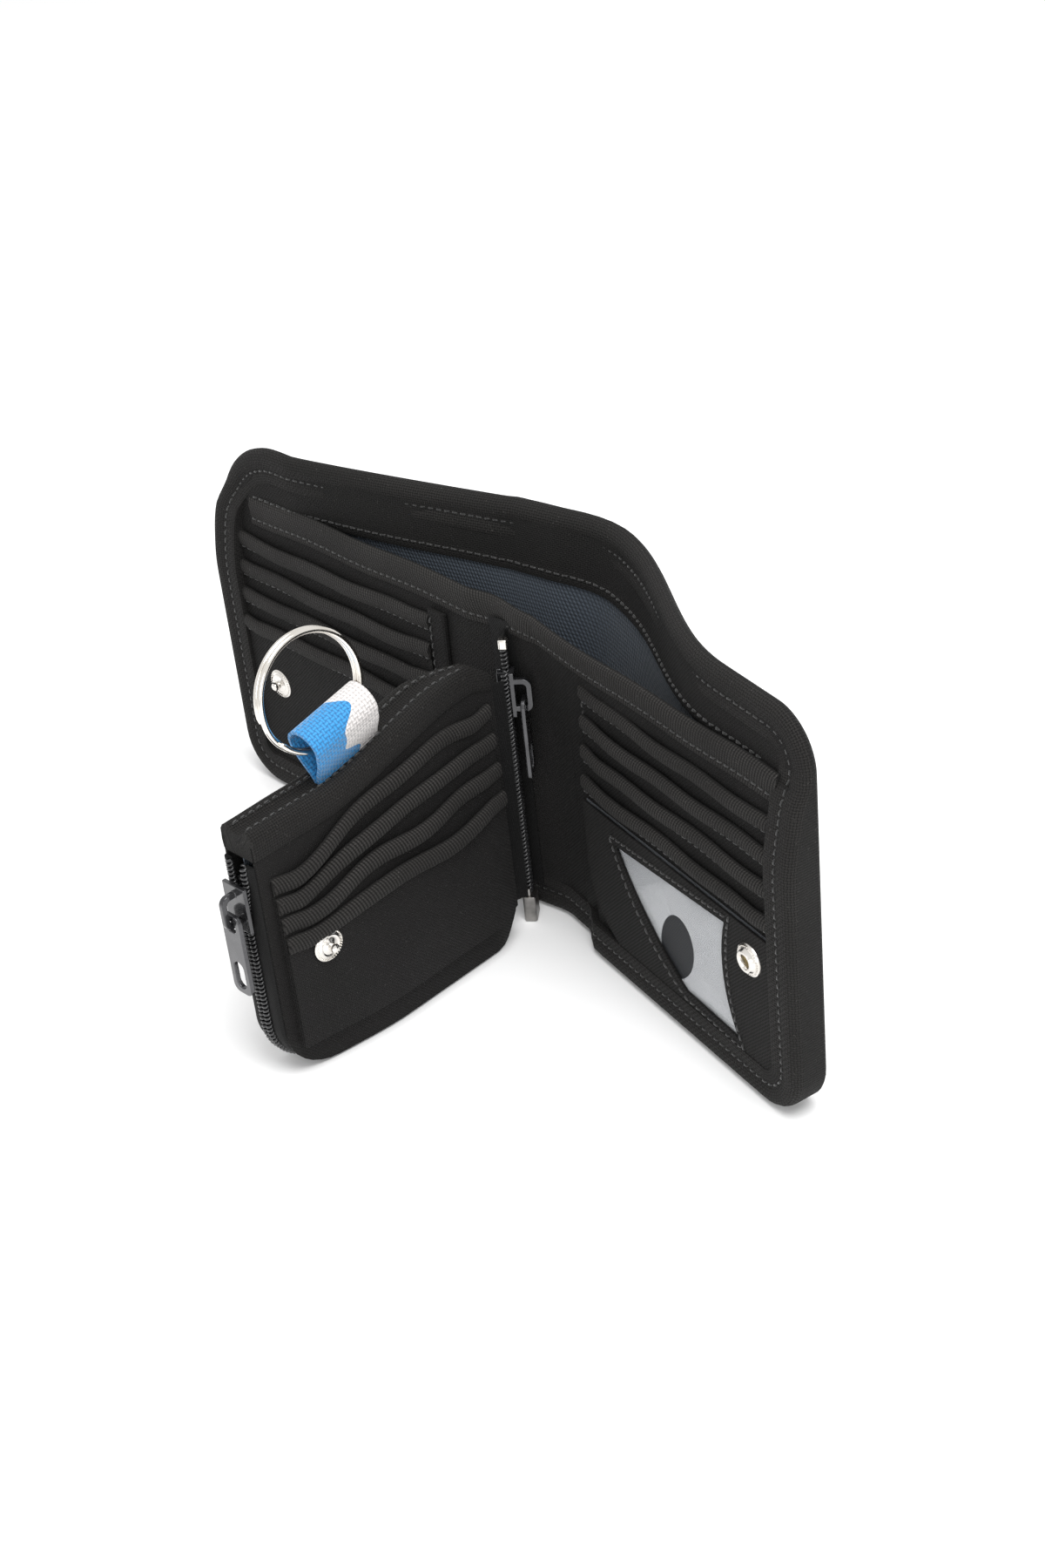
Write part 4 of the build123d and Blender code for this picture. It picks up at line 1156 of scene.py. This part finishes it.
# %% Frame, film and backing
NOTCH_WIDE, NOTCH_TALL, NOTCH_U, NOTCH_Z = 7.5, 11.5, 61, 26.5
NOTCH_TILT = radians(-20)
notch = []
for k in range(32):
    across, along = NOTCH_WIDE * cos(k * pi / 16), NOTCH_TALL * sin(k * pi / 16)
    notch.append((NOTCH_U + across * cos(NOTCH_TILT) - along * sin(NOTCH_TILT),
                  NOTCH_Z + across * sin(NOTCH_TILT) + along * cos(NOTCH_TILT)))


def film_here(u, z, proud):
    ripple = 0.25 * mm * sin(u * 170 + z * 60) * sin(z * 120 - u * 50)
    return right_here(u, z, proud + ripple)


id_frame = plate("id_frame", frame_loop(), [window_loop(0)], right_here, 3.9 * mm, 0.5 * mm,
                 0.12 * mm)
fit(paint(id_frame, canvas), "right_panel", "id_window_frame")
id_film = plate("id_film", window_loop(1.6), [notch], film_here, 3.5 * mm, 0.15 * mm)
fit(paint(id_film, film), "right_panel", "id_window_film")
id_backing = plate("id_backing", frame_loop(), [], right_here, 2.95 * mm, 0.3 * mm)
fit(paint(id_backing, backing), "right_panel", "id_window_backing")
# A darker sheet inside the notch: painted shade of the card slot behind it.
slot_shade = plate("id_card_slot_shade", [(x * 0.98 + 1.2, y * 0.98 + 0.5) for x, y in notch], [],
                   right_here, 3.28 * mm, 0.1 * mm)
fit(paint(slot_shade, slot_shade_twill), "right_panel")

around = window_loop(2.2)
line = [(right_here(x * mm, y * mm, 4.55 * mm), away(right_here, x * mm))
        for x, y in around + around[:1]]
fit(seam("id_window_seam", line), "right_panel")
print("identity window with", len(window_loop(0)), "outline points")

# %% [markdown]
# ## Coin pouch
# The pouch hangs on the hinge zip like a page. It is two cloth walls, sewn together beside
# the hinge, that open to the zip's width at the free end. The top is a turned hem with a
# groove between its two ridges.

# %% Pouch frame
pin = Vector(joints["pouch_turn"]["pos_m"])
pouch_lean = radians(7.1)
P_OUT = Vector((-sin(pouch_lean), -cos(pouch_lean), 0))      # away from the hinge
P_BACK = Vector((-cos(pouch_lean), sin(pouch_lean), 0))      # through the pouch to its back
pouch_near, pouch_far = 4.5 * mm, 93.1 * mm
pouch_deep = 12.4 * mm
pouch_low = 2.6 * mm                         # foot of the zip
belly_low = 0.6 * mm                         # foot of the two walls
near_corner = 10 * mm
top_near, top_far = 92 * mm, 81 * mm
pouch_corner = 15 * mm


def pouch_top(u):
    """Height of the pouch's upper edge: high by the hinge, then down to the free end."""
    near_round = 2.6 * mm * (1 - smooth((u - pouch_near) / (9 * mm)))
    return top_near - (top_near - top_far) * smooth((u - 18 * mm) / (52 * mm)) - near_round


def pouch_place(u, v, z):
    """Point u from the pin line, v behind the pouch's face plane, z high."""
    return pin + P_OUT * u + P_BACK * v + up * z


def pouch_low_at(u):
    """Foot of a wall: round at both lower corners."""
    short = pouch_near + near_corner - u
    if short > 0:
        return belly_low + near_corner - sqrt(max(near_corner ** 2 - short * short, 0))
    past = u - (pouch_far - pouch_corner)
    if past <= 0:
        return belly_low
    return belly_low + pouch_corner - sqrt(max(pouch_corner ** 2 - past * past, 0))


def pouch_us():
    first = [pouch_near + near_corner * (1 - cos(k * pi / 12)) for k in range(6)]
    first += spread(pouch_near + near_corner, pouch_far - pouch_corner, 3 * mm)
    return first + [pouch_far - pouch_corner + pouch_corner * sin(k * pi / 16) for k in range(1, 9)]


def puff(u, z):
    """How full the pouch is at a point, 0 at its seams and 1 in the middle."""
    a = smooth((u - pouch_near) / (30 * mm)) * (0.35 + 0.65 * smooth((pouch_far - u) / (20 * mm)))
    b = smooth((z - pouch_low) / (26 * mm)) * (0.45 + 0.55 * smooth((pouch_top(u) - z) / (26 * mm)))
    return a * b


def front_at(u, z):
    """The front wall: nearly flat, a little proud low down, with soft waves."""
    wave = 0.35 * mm * sin(u * 70 + z * 35)
    low = 1 - smooth((z - 6 * mm) / (64 * mm))
    inwards = smooth((u - pouch_near) / (14 * mm)) * smooth((pouch_far + 4 * mm - u) / (44 * mm))
    belly = 4.6 * mm * low * inwards
    return 0.5 * mm - 0.8 * mm * puff(u, z) + wave * puff(u, z) - belly


def back_at(u, z):
    """The back wall: sewn to the front by the hinge, then out to the full thickness."""
    rise = smooth((u - pouch_near) / (26 * mm))
    wave = 0.5 * mm * sin(u * 55 - z * 45) * puff(u, z)
    return 2.2 * mm + (pouch_deep - 2.6 * mm) * rise + 0.9 * mm * puff(u, z) + wave


us = pouch_us()
lows = [pouch_low_at(u) for u in us]
highs = [pouch_top(u) - 4 * mm for u in us]
rows = spread(0, 1, 0.045)
wall = 0.7 * mm
pouch_front = slab("pouch_front_wall", us, rows,
                   lambda u, z, n: pouch_place(u, front_at(u, z) + n, z),
                   wall, lows, highs)
pouch_back = slab("pouch_back_wall", us, rows,
                  lambda u, z, n: pouch_place(u, back_at(u, z) - wall + n, z),
                  wall, lows, highs)
for piece, node in ((pouch_front, "pouch_front"), (pouch_back, "pouch_back")):
    fit(paint(piece, canvas), "pouch", node)
pouch_inside = slab("pouch_twill", us[2:-2], rows,
                    lambda u, z, n: pouch_place(u, (front_at(u, z) + back_at(u, z)) / 2 + n, z),
                    0.4 * mm, [low + 2 * mm for low in lows[2:-2]], highs[2:-2])
fit(paint(pouch_inside, lining), "pouch", "pouch_lining")


# %% Web across the pouch's foot
def web_point(u, share, n):
    """Cloth from the front wall's foot to the back wall's, arched over the zip."""
    low = pouch_low_at(u)
    front, back = front_at(u, low) + 0.35 * mm, back_at(u, low) - 0.35 * mm
    arch = low + 0.3 * mm + 3.2 * mm * sin(pi * share)
    return pouch_place(u, front + (back - front) * share, arch + n)


foot_web = paint(slab("pouch_foot_web", us, spread(0, 1, 0.1), web_point, 0.5 * mm),
                 canvas)
fit(foot_web, "pouch")


# %% Pouch hem: two ridges with a groove between
hem_deep = 8.6 * mm
# The hem's top: share of its width, how far it lies down, and how much further in the groove.
RIDGES = ((0.07, 0.8, 0), (0.17, 0, 0), (0.27, 0.5, 0), (0.36, 0.6, 1.1), (0.5, 0.4, 1.6),
          (0.64, 0.6, 1.1), (0.73, 0.5, 0), (0.83, 0, 0), (0.93, 0.8, 0))


def hem_faces(u):
    return front_at(u, 70 * mm) - 0.3 * mm, back_at(u, 70 * mm) + 0.2 * mm


def hem_profile(u):
    """Closed section of the hem at u: places across the pouch, and their heights."""
    front, back = hem_faces(u)
    groove = smooth((u - 16 * mm) / (16 * mm))
    top = pouch_top(u)
    foot = top - hem_deep
    section = [(front + 0.5 * mm, foot), (front, foot + 0.6 * mm),
               (front - 0.25 * mm, foot + 3 * mm), (front, top - 2.2 * mm)]
    section += [(front + share * (back - front), top - (down + cut * groove) * mm)
                for share, down, cut in RIDGES]
    section += [(back, top - 2.2 * mm), (back + 0.25 * mm, foot + 3 * mm),
                (back, foot + 0.6 * mm), (back - 0.5 * mm, foot)]
    return section


rings = []
for u in spread(pouch_near + 1 * mm, pouch_far, 2.5 * mm):
    near_round = 1 - smooth((u - pouch_near - 1 * mm) / (7 * mm))
    foot = pouch_top(u) - hem_deep
    rings.append([pouch_place(u, v, z - near_round * (z - foot) * 0.3)
                  for v, z in hem_profile(u)])
pouch_band = paint(sweep("pouch_top_hem", rings, sharp=70), coarse)
fit(pouch_band, "pouch", "pouch_hem")
for label, share in (("front", 0.28), ("back", 0.72)):
    line = []
    for u in spread(14 * mm, pouch_far - 1 * mm, 3 * mm):
        front, back = hem_faces(u)
        across = front + (back - front) * share
        line.append((pouch_place(u, across, pouch_top(u) - 0.35 * mm), up))
    fit(seam("pouch_hem_seam_" + label, line), "pouch")

# %% [markdown]
# The pouch's own card pockets hang in slanting swags: their lips run down to the free end and
# wave far more than the flat ones on the side panels.


# %% Pouch pockets
def pouch_here(u, z, proud):
    return pouch_place(u, front_at(u, z) - 0.1 * mm - proud, z)


p_near, p_far, p_foot = 7.5 * mm, 89.6 * mm, 10.6 * mm
p_wide = p_far - p_near
for i in range(4):
    start, drop = (78 - 9.25 * i) * mm, (12.5 - 3.2 * i) * mm

    def slant(u, a=start, fall=drop, seed=i):
        s = (u - p_near) / p_wide
        swag = 0.9 * mm * sin(s * 4 * pi - 1.2 + seed * 0.5)
        swag *= smooth(s / 0.1) * smooth((1 - s) / 0.1)
        return a - fall * smooth((u - 38 * mm) / (50 * mm)) + swag

    label = f"pouch_card_pocket_{i + 1}"
    cloth, lip_piece, sag = make_pocket(label, pouch_here, p_near, p_far, start, p_foot,
                                        0.75 * mm * i, i + 7, slant, slack=1.7 * mm)
    fit(cloth, "pouch", f"pouch_pocket_{i + 1}")
    fit(lip_piece, "pouch")
print("pouch is", round(pouch_deep / mm, 1), "mm deep with four slanting pockets")

# %% [markdown]
# ## Zips
# A coil zip is one nylon wire wound into a spring along each tape edge. The wire is drawn as
# a helix that follows the zip's line, flattened a little, with the two rows half a turn apart.


# %% Coil rows
def pouch_zip_line(offset):
    """Line of a coil row: down the free end, round the corner and along the bottom."""
    reach = pouch_corner + offset
    x, low = pouch_far + offset, pouch_low - offset
    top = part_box("pouch_chain_front")[1].z - 1 * mm
    line = [(x, z) for z in spread(top, pouch_low + pouch_corner, 2 * mm)]
    centre = (pouch_far - pouch_corner, pouch_low + pouch_corner)
    line += [(centre[0] + reach * cos(a), centre[1] - reach * sin(a))
             for a in spread(0, pi / 2, 0.1)[1:]]
    line += [(u, low) for u in spread(pouch_far - pouch_corner, 14.5 * mm, 2 * mm)[1:]]
    return line


COIL_RADIUS, COIL_PITCH, COIL_WIRE = 0.85 * mm, 1.35 * mm, 0.36 * mm
COIL_POINTS = 9                              # points drawn in one turn of the wire


def coil(name, points, across, phase):
    """Helix round a line of points; across is the direction along the zip's width."""
    total = running(points)[-1]
    count = int(total / COIL_PITCH * COIL_POINTS)
    curve = bpy.data.curves.new(name, "CURVE")
    curve.dimensions = "3D"
    curve.bevel_depth = COIL_WIRE
    curve.bevel_resolution = 1
    spline = curve.splines.new("POLY")
    spline.points.add(count)
    stations = [total * k / count for k in range(count + 1)]
    for k, (_, at, share) in enumerate(walk(points, stations)):
        centre = points[at].lerp(points[at + 1], share)
        along = (points[at + 1] - points[at]).normalized()
        out = along.cross(across).normalized()
        turn = 2 * pi * k / COIL_POINTS + phase
        p = centre + across * cos(turn) * COIL_RADIUS + out * sin(turn) * COIL_RADIUS * 0.85
        spline.points[k].co = (*p, 1)
    mesh = mesh_of_curve(name, curve)
    mesh.shade_smooth()
    return paint(add_piece(name, mesh), nylon)


zip_mid = 0.5 * mm + (pouch_deep - 1 * mm) / 2 + 0.5 * mm


def zip_open(u, z):
    """How far the rows stand apart: 0 where they mesh, 1 above the slider."""
    return smooth((z - 52 * mm) / (14 * mm)) if u > pouch_far else 0


for label, sign in (("front", -1), ("back", 1)):
    line = [pouch_place(u, zip_mid + sign * (0.95 * mm + 1.9 * mm * zip_open(u, z)), z)
            for u, z in pouch_zip_line(1.3 * mm)]
    row = coil(f"pouch_coil_{label}", line, P_BACK, 0 if sign < 0 else pi)
    fit(row, "pouch", f"pouch_chain_{label}")


# %% Zip tapes of the pouch
# Section of the tape: share of the way from the seam to the coils, and how far it rolls out.
TAPE_ROLL = ((0, 0.0), (0.15, 0.8), (0.5, 1.15), (0.85, 0.9), (1, 0.5), (1, -0.3), (0.5, -0.3),
             (0, -0.3))


def tape_band(name, v_edge, v_coil):
    """Strip of tape from the wall's seam to the coils, rolled out a little in the middle."""
    rings = []
    for (u, z), (u2, z2) in zip(pouch_zip_line(0.3 * mm), pouch_zip_line(1.1 * mm)):
        inner = v_coil + (v_edge - v_coil) * 0.35 * zip_open(u, z)
        rings.append([pouch_place(u + (u2 - u) * h, v_edge + (inner - v_edge) * s,
                                  z + (z2 - z) * h) for s, h in TAPE_ROLL])
    return paint(sweep(name, rings, sharp=60), tape)


front_tape = tape_band("pouch_front_tape", 0.6 * mm, zip_mid - 1.7 * mm)
back_tape = tape_band("pouch_back_tape", pouch_deep - 0.2 * mm, zip_mid + 1.7 * mm)
fit(front_tape, "pouch", "pouch_tape_front")
fit(back_tape, "pouch", "pouch_tape_back")

# %% Hinge zip: both rows, tapes and top stop
hinge_turn = radians(30)
Z_DIR = Vector((sin(hinge_turn), -cos(hinge_turn), 0))       # from the spine to the pin line
Z_OUT = Vector((cos(hinge_turn), sin(hinge_turn), 0))        # to the zip's outer side
row_pitch = 3.2 * mm
chain_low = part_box("hinge_chain_spine")[0].z
chain_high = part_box("hinge_chain_spine")[1].z
slider_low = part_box("hinge_slider")[0].z


def hinge_row(along, top):
    """A vertical coil row: its line stands along from the pin line, towards the spine."""
    return [pin - Z_DIR * along(z) + up * z for z in spread(top, chain_low, 2 * mm)]


def closing(z):
    """1 below the slider, where the rows mesh, and 0 above it."""
    return 1 - smooth((z - slider_low - 2 * mm) / (10 * mm))


spine_line = hinge_row(lambda z: row_pitch - 0.35 * mm * closing(z), chain_high)
pouch_line = hinge_row(lambda z: 0.75 * mm * closing(z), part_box("hinge_chain_pouch")[1].z)
spine_coil = coil("hinge_coil_spine", spine_line, Z_OUT, 0)
pouch_coil = coil("hinge_coil_pouch", pouch_line, Z_OUT, pi)
fit(spine_coil, "spine", "hinge_chain_spine")


def rod(name, centre, radius, low, high):
    """Upright pin with rounded ends."""
    levels = ((low, 0.5), (low + 0.25 * mm, 0.9), (low + 0.5 * mm, 1), (high - 0.3 * mm, 1),
              (high, 0.8))
    round_it = [Vector((cos(k * pi / 8), sin(k * pi / 8), 0)) for k in range(16)]
    rings = [[centre + up * z + spoke * radius * r for spoke in round_it] for z, r in levels]
    return sweep(name, rings)


retainer_pin = paint(rod("hinge_retainer_pin", Vector((pin.x, pin.y, 0)), 0.75 * mm,
                         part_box("hinge_chain_pouch")[0].z, chain_low + 2 * mm), dull)
pouch_coil_piece = join("hinge_coil_and_pin", [pouch_coil, retainer_pin])
fit(pouch_coil_piece, "pouch", "hinge_chain_pouch")



def spine_tape_point(x, z, n):
    """The tape lies on the spine, and its end above the zip is turned in."""
    turned_in = 0.5 * mm * smooth((z - 90 * mm) / (7 * mm))
    return Vector((x - 0.3 * mm, -0.75 * mm + n - turned_in, z))


def fin_point(x, z, n):
    return pin - Z_DIR * x + Z_OUT * (n - 0.25 * mm) + up * (z - pin.z)


def pouch_tape_point(u, z, n):
    return pouch_place(u, -0.2 * mm + n + 1.3 * mm * smooth(u / (7 * mm)), z)


fin_foot = (-pin.y - 0.3 * mm) / cos(hinge_turn)
spine_tape = slab("hinge_tape_on_spine", spread(-4.6 * mm, 4.4 * mm, 1 * mm),
                  spread(chain_low, 97 * mm, 2 * mm), spine_tape_point, 0.4 * mm)
fit(paint(spine_tape, tape), "spine", "hinge_tape_spine")
spine_fin = slab("hinge_tape_fin", spread(row_pitch + 0.6 * mm, fin_foot, 0.8 * mm),
                 spread(chain_low, chain_high + 4 * mm, 2 * mm), fin_point, 0.5 * mm)
fit(paint(spine_fin, tape), "spine")
pouch_tape = slab("hinge_tape_on_pouch", spread(0.6 * mm, 7.5 * mm, 0.8 * mm),
                  spread(chain_low, 82 * mm, 2 * mm), pouch_tape_point, 0.5 * mm)
fit(paint(pouch_tape, tape), "pouch", "pouch_hinge_tape")
print("coils wound for both zips")


# %% [markdown]
# ## Sliders, pull tabs and small metal
# The CAD shapes are right but sharp-edged. A copy of each is rounded with a bevel and keeps
# its size, as a cast and enamelled part has no sharp edges.


# %% Rounded copies of CAD pieces
def rounded_copy(name, node, body, width, material, slot):
    piece = new_object(name, frame["nodes"][node].data.copy())
    work = bmesh.new()
    work.from_mesh(piece.data)
    bmesh.ops.remove_doubles(work, verts=work.verts, dist=2e-6)
    bmesh.ops.dissolve_limit(work, angle_limit=radians(2), verts=work.verts, edges=work.edges)
    work.to_mesh(piece.data)
    work.free()
    bevel = piece.modifiers.new("round", "BEVEL")
    bevel.width = width * mm
    bevel.segments = 3
    bevel.limit_method = "ANGLE"
    bevel.angle_limit = radians(30)
    bevel.harden_normals = False
    piece.data.shade_smooth()
    piece.data.set_sharp_from_angle(angle=radians(35))
    paint(piece, material)
    return fit(piece, body, node)


# Name, CAD piece, body, radius of the rounding in mm, material and slot.
COPIES = (
    ("hinge_zip_slider", "hinge_slider", "hinge_slider", 0.28, enamel, "gunmetal"),
    ("pouch_zip_slider", "pouch_slider", "pouch_slider", 0.28, enamel, "gunmetal"),
    ("hinge_pull_tab", "hinge_puller", "hinge_puller", 0.3, tab_metal, "gunmetal"),
    ("pouch_pull_tab", "pouch_puller", "pouch_puller", 0.3, tab_metal, "gunmetal"),
    ("hinge_box", "hinge_retainer_box", "spine", 0.2, dull, "box_metal"),
    ("hinge_stop", "hinge_top_stop", "spine", 0.35, nickel, "snap_nickel"),
)
for copy in COPIES:
    rounded_copy(*copy)


# %% [markdown]
# ## Snaps
# Snap halves are stamped from sheet brass and plated. They are turned shapes: a profile is
# spun round the snap's axis. The rim carries a ring of small beads.


# %% Spun snaps
def spokes(axis, count):
    """Evenly spread directions round an axis."""
    side = axis.cross(up).normalized()
    other = axis.cross(side)
    turns = [2 * pi * k / count for k in range(count)]
    return [side * cos(a) + other * sin(a) for a in turns]


def spun(name, centre, axis, profile, segments=48):
    """Turned piece: profile holds (radius, height) along the axis, in millimetres."""
    axis = axis.normalized()
    rings = [[centre + spoke * (r * mm) + axis * (h * mm) for r, h in profile]
             for spoke in spokes(axis, segments)]
    return sweep(name, rings, closed=True, sharp=35)


BEAD_SIZE, BEAD_COUNT = 0.24 * mm, 36


def beads(name, centre, axis, radius, height_at):
    """Ring of small beads on a snap's rim."""
    axis = axis.normalized()
    work = bmesh.new()
    for spoke in spokes(axis, BEAD_COUNT):
        spot = Matrix.Translation(centre + spoke * radius + axis * height_at)
        bmesh.ops.create_icosphere(work, subdivisions=1, radius=BEAD_SIZE, matrix=spot)
    mesh = bpy.data.meshes.new(name)
    work.to_mesh(mesh)
    work.free()
    mesh.shade_smooth()
    return add_piece(name, mesh)


def box_middle(node):
    low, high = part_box(node)
    return (low + high) / 2


STUD = ((0.02, 3.4), (0.8, 3.35), (1.25, 3.0), (1.4, 2.5), (1.2, 1.6), (1.15, 1.05),
        (1.7, 0.75), (2.6, 0.62), (2.9, 0.85), (3.2, 0.88), (3.5, 0.62), (4.5, 0.5), (4.8, 0.3),
        (4.9, 0.05), (0.02, 0.0))
SOCKET = ((1.9, 0.5), (1.9, 1.6), (2.15, 2.05), (2.6, 2.2), (3.0, 2.1), (3.3, 1.5), (3.6, 1.1),
          (4.2, 0.95), (4.7, 0.7), (4.9, 0.3), (4.9, 0.05), (1.9, 0.0))
CORE = ((0.02, 0.35), (1.2, 0.4), (1.9, 0.55), (1.9, 0.3), (0.02, 0.2))
STUD_BEADS, SOCKET_BEADS = (4.25, 0.55), (4.1, 0.98)         # radius and height of their ring


def make_snap(name, node, body, out, seat, profile, bead_at):
    """Snap half turned about out, standing on its seat."""
    turned = paint(spun(name, seat, out, profile), nickel)
    ring, rise = bead_at
    trim = paint(beads(name + "_beads", seat, out, ring * mm, rise * mm), nickel)
    fit(turned, body, node)
    fit(trim, body)


left_in, right_in, pouch_in = -LEFT_OUT, -RIGHT_OUT, -P_BACK
left_seat = box_middle("left_snap_stud") - left_in * 1.7 * mm
pouch_seat = pouch_here(77.5 * mm, 39 * mm, 2.95 * mm)
right_seat = right_here(96.3 * mm, 44 * mm, 4.3 * mm)
rear_seat = box_middle("pouch_snap_socket") - P_BACK * 0.6 * mm
for snap in (
    ("left_stud", "left_snap_stud", "left_panel", left_in, left_seat, STUD, STUD_BEADS),
    ("pouch_stud", "pouch_snap_stud", "pouch", pouch_in, pouch_seat, STUD, STUD_BEADS),
    ("right_socket", "right_snap_socket", "right_panel", right_in, right_seat, SOCKET,
     SOCKET_BEADS),
    ("rear_socket", "pouch_snap_socket", "pouch", P_BACK, rear_seat, SOCKET, SOCKET_BEADS),
):
    make_snap(*snap)
for label, seat, out, body in (("right", right_seat, right_in, "right_panel"),
                               ("rear", rear_seat, P_BACK, "pouch")):
    fit(paint(spun(label + "_socket_core", seat, out, CORE, 24), brass), body)
print("four snaps turned")

# %% [markdown]
# ## Ribbon loop and split ring
# A short ribbon is folded over the ring and its ends are sewn into the pouch's hem. The ring
# is one flat wire that goes round twice, so both of its ends show.

# %% Ribbon
ribbon_axis = Vector(joints["ribbon_flex"]["axis"]).normalized()
ribbon_foot = Vector(joints["ribbon_flex"]["pos_m"]) - P_OUT * 4.5 * mm
ribbon_up = (up - ribbon_axis * up.dot(ribbon_axis)).normalized()
ribbon_side = ribbon_up.cross(ribbon_axis).normalized()
bore, ribbon_thick, ribbon_wide = 4.7 * mm, 0.9 * mm, 22.5 * mm
loop_mid = 9.4 * mm


def loop_line():
    """Middle line of the folded ribbon, across and up, from one sewn end to the other."""
    r = bore + ribbon_thick / 2
    foot = -3.2 * mm
    gap = 0.55 * mm
    legs = [(gap + (r * 0.86 - gap) * smooth(k / 6), foot + (loop_mid * 0.72 - foot) * k / 6)
            for k in range(7)]
    start = -radians(28)
    arc = [(r * cos(a), loop_mid + r * sin(a)) for a in spread(start, pi - start, 0.16)]
    back = [(-x, y) for x, y in reversed(legs)]
    return legs[:-1] + arc + back[1:]


def make_ribbon():
    line = loop_line()
    cols = spread(-ribbon_wide / 2, ribbon_wide / 2, 0.9 * mm)
    verts, uvs, faces = [], [], []
    run, marks = 0.0, [0.0]
    for a, b in zip(line, line[1:]):
        run += sqrt((a[0] - b[0]) ** 2 + (a[1] - b[1]) ** 2)
        marks.append(run)
    for side in (0, 1):
        for k, (x, y) in enumerate(line):
            a, b = line[max(k - 1, 0)], line[min(k + 1, len(line) - 1)]
            tx, ty = b[0] - a[0], b[1] - a[1]
            size = sqrt(tx * tx + ty * ty)
            nx, ny = ty / size, -tx / size
            shift = ribbon_thick * (0.5 if side == 0 else -0.5)
            for c in cols:
                verts.append(ribbon_foot + ribbon_side * (x + nx * shift)
                             + ribbon_up * (y + ny * shift) + ribbon_axis * c)
                uvs.append((c, marks[k]))
    rows, count = len(line), len(cols)
    back = rows * count
    for i in range(rows - 1):
        for j in range(count - 1):
            a, b = i * count + j, (i + 1) * count + j
            faces.append((a, a + 1, b + 1, b))
            faces.append((back + a, back + b, back + b + 1, back + a + 1))
    rim = list(range(count)) + [i * count + count - 1 for i in range(1, rows)]
    rim += [(rows - 1) * count + j for j in range(count - 2, -1, -1)]
    rim += [i * count for i in range(rows - 2, 0, -1)]
    for a, b in zip(rim, rim[1:] + rim[:1]):
        faces.append((a, back + a, back + b, b))
    return finish_mesh("ring_ribbon", verts, faces, uvs), run


def make_ribbon_material():
    """Woven ribbon, blue at one end and white at the other, with a wavy border between."""
    material, tree, shader = start_material("printed_ribbon", rough=0.62, sheen=0.3, spec=0.4)
    weave = use_group(tree, "weave", Threads=900.0)
    tree.links.new(cloth_map(tree), weave.inputs["Map"])
    parts = tree.nodes.new("ShaderNodeSeparateXYZ")
    tree.links.new(cloth_map(tree), parts.inputs[0])

    def wave(turns, size):
        swing = math(tree, "SINE", math(tree, "MULTIPLY", parts.outputs[1], turns))
        return math(tree, "MULTIPLY", swing, size)

    waves = math(tree, "ADD", wave(330.0, 3.0 * mm), wave(810.0, 1.0 * mm))
    border = math(tree, "ADD", waves, 1.2 * mm)
    white = math(tree, "GREATER_THAN", parts.outputs[0], border)
    raised = weave.outputs["Height"]
    # Within each printed colour the weave paints shade between threads and highlight on raised
    # ones.
    blue = mix_color(tree, raised, (0.008, 0.10, 0.27, 1), (0.03, 0.27, 0.60, 1))
    pale = mix_color(tree, raised, (0.40, 0.38, 0.37, 1), (0.70, 0.67, 0.66, 1))
    tree.links.new(mix_color(tree, white, blue, pale), shader.inputs["Base Color"])
    add_bump(tree, shader, weave.outputs["Height"], 0.8, 0.3 * mm)
    return material


ribbon, ribbon_long = make_ribbon()
fit(paint(ribbon, make_ribbon_material()), "ribbon", "ribbon_loop")


# %% Split ring
ring_radius, ring_wire = 17 * mm, 1.8 * mm
ring_lean = radians(-9)                      # the ring falls a little to the pouch's front
ring_hub = ribbon_foot + ribbon_up * loop_mid - ribbon_axis * 2 * mm
ring_turn = Matrix.Rotation(ring_lean, 3, ribbon_axis)
ring_rise, ring_across = ring_turn @ ribbon_up, ring_turn @ ribbon_side
ring_centre = ring_hub + ring_rise * 12.4 * mm


def make_ring():
    """Flat wire, two turns: the section slides across by one wire over half a turn."""
    rings = []
    steps, turns = 72, 1.93
    middle = ring_radius - ring_wire / 2
    for k in range(int(steps * turns) + 1):
        a = 2 * pi * k / steps + radians(205)
        slide = smooth((k / steps - 0.86) / 0.2) * 2 - 1
        spoke = ribbon_axis * cos(a) + ring_rise * sin(a)
        centre = ring_centre + spoke * middle + ring_across * slide * 0.8 * mm
        ends = min(k, int(steps * turns) - k)
        size = 0.75 if ends == 0 else 1.0
        section = []
        for q in range(12):
            b = 2 * pi * q / 12
            section.append(centre + spoke * cos(b) * ring_wire / 2 * size
                           + ring_across * sin(b) * 0.76 * mm * size)
        rings.append(section)
    return sweep("split_ring", rings, sharp=60)


fit(paint(make_ring(), steel), "key_ring", "key_ring")
print("ring and ribbon in place, ribbon", round(ribbon_long / mm), "mm long")
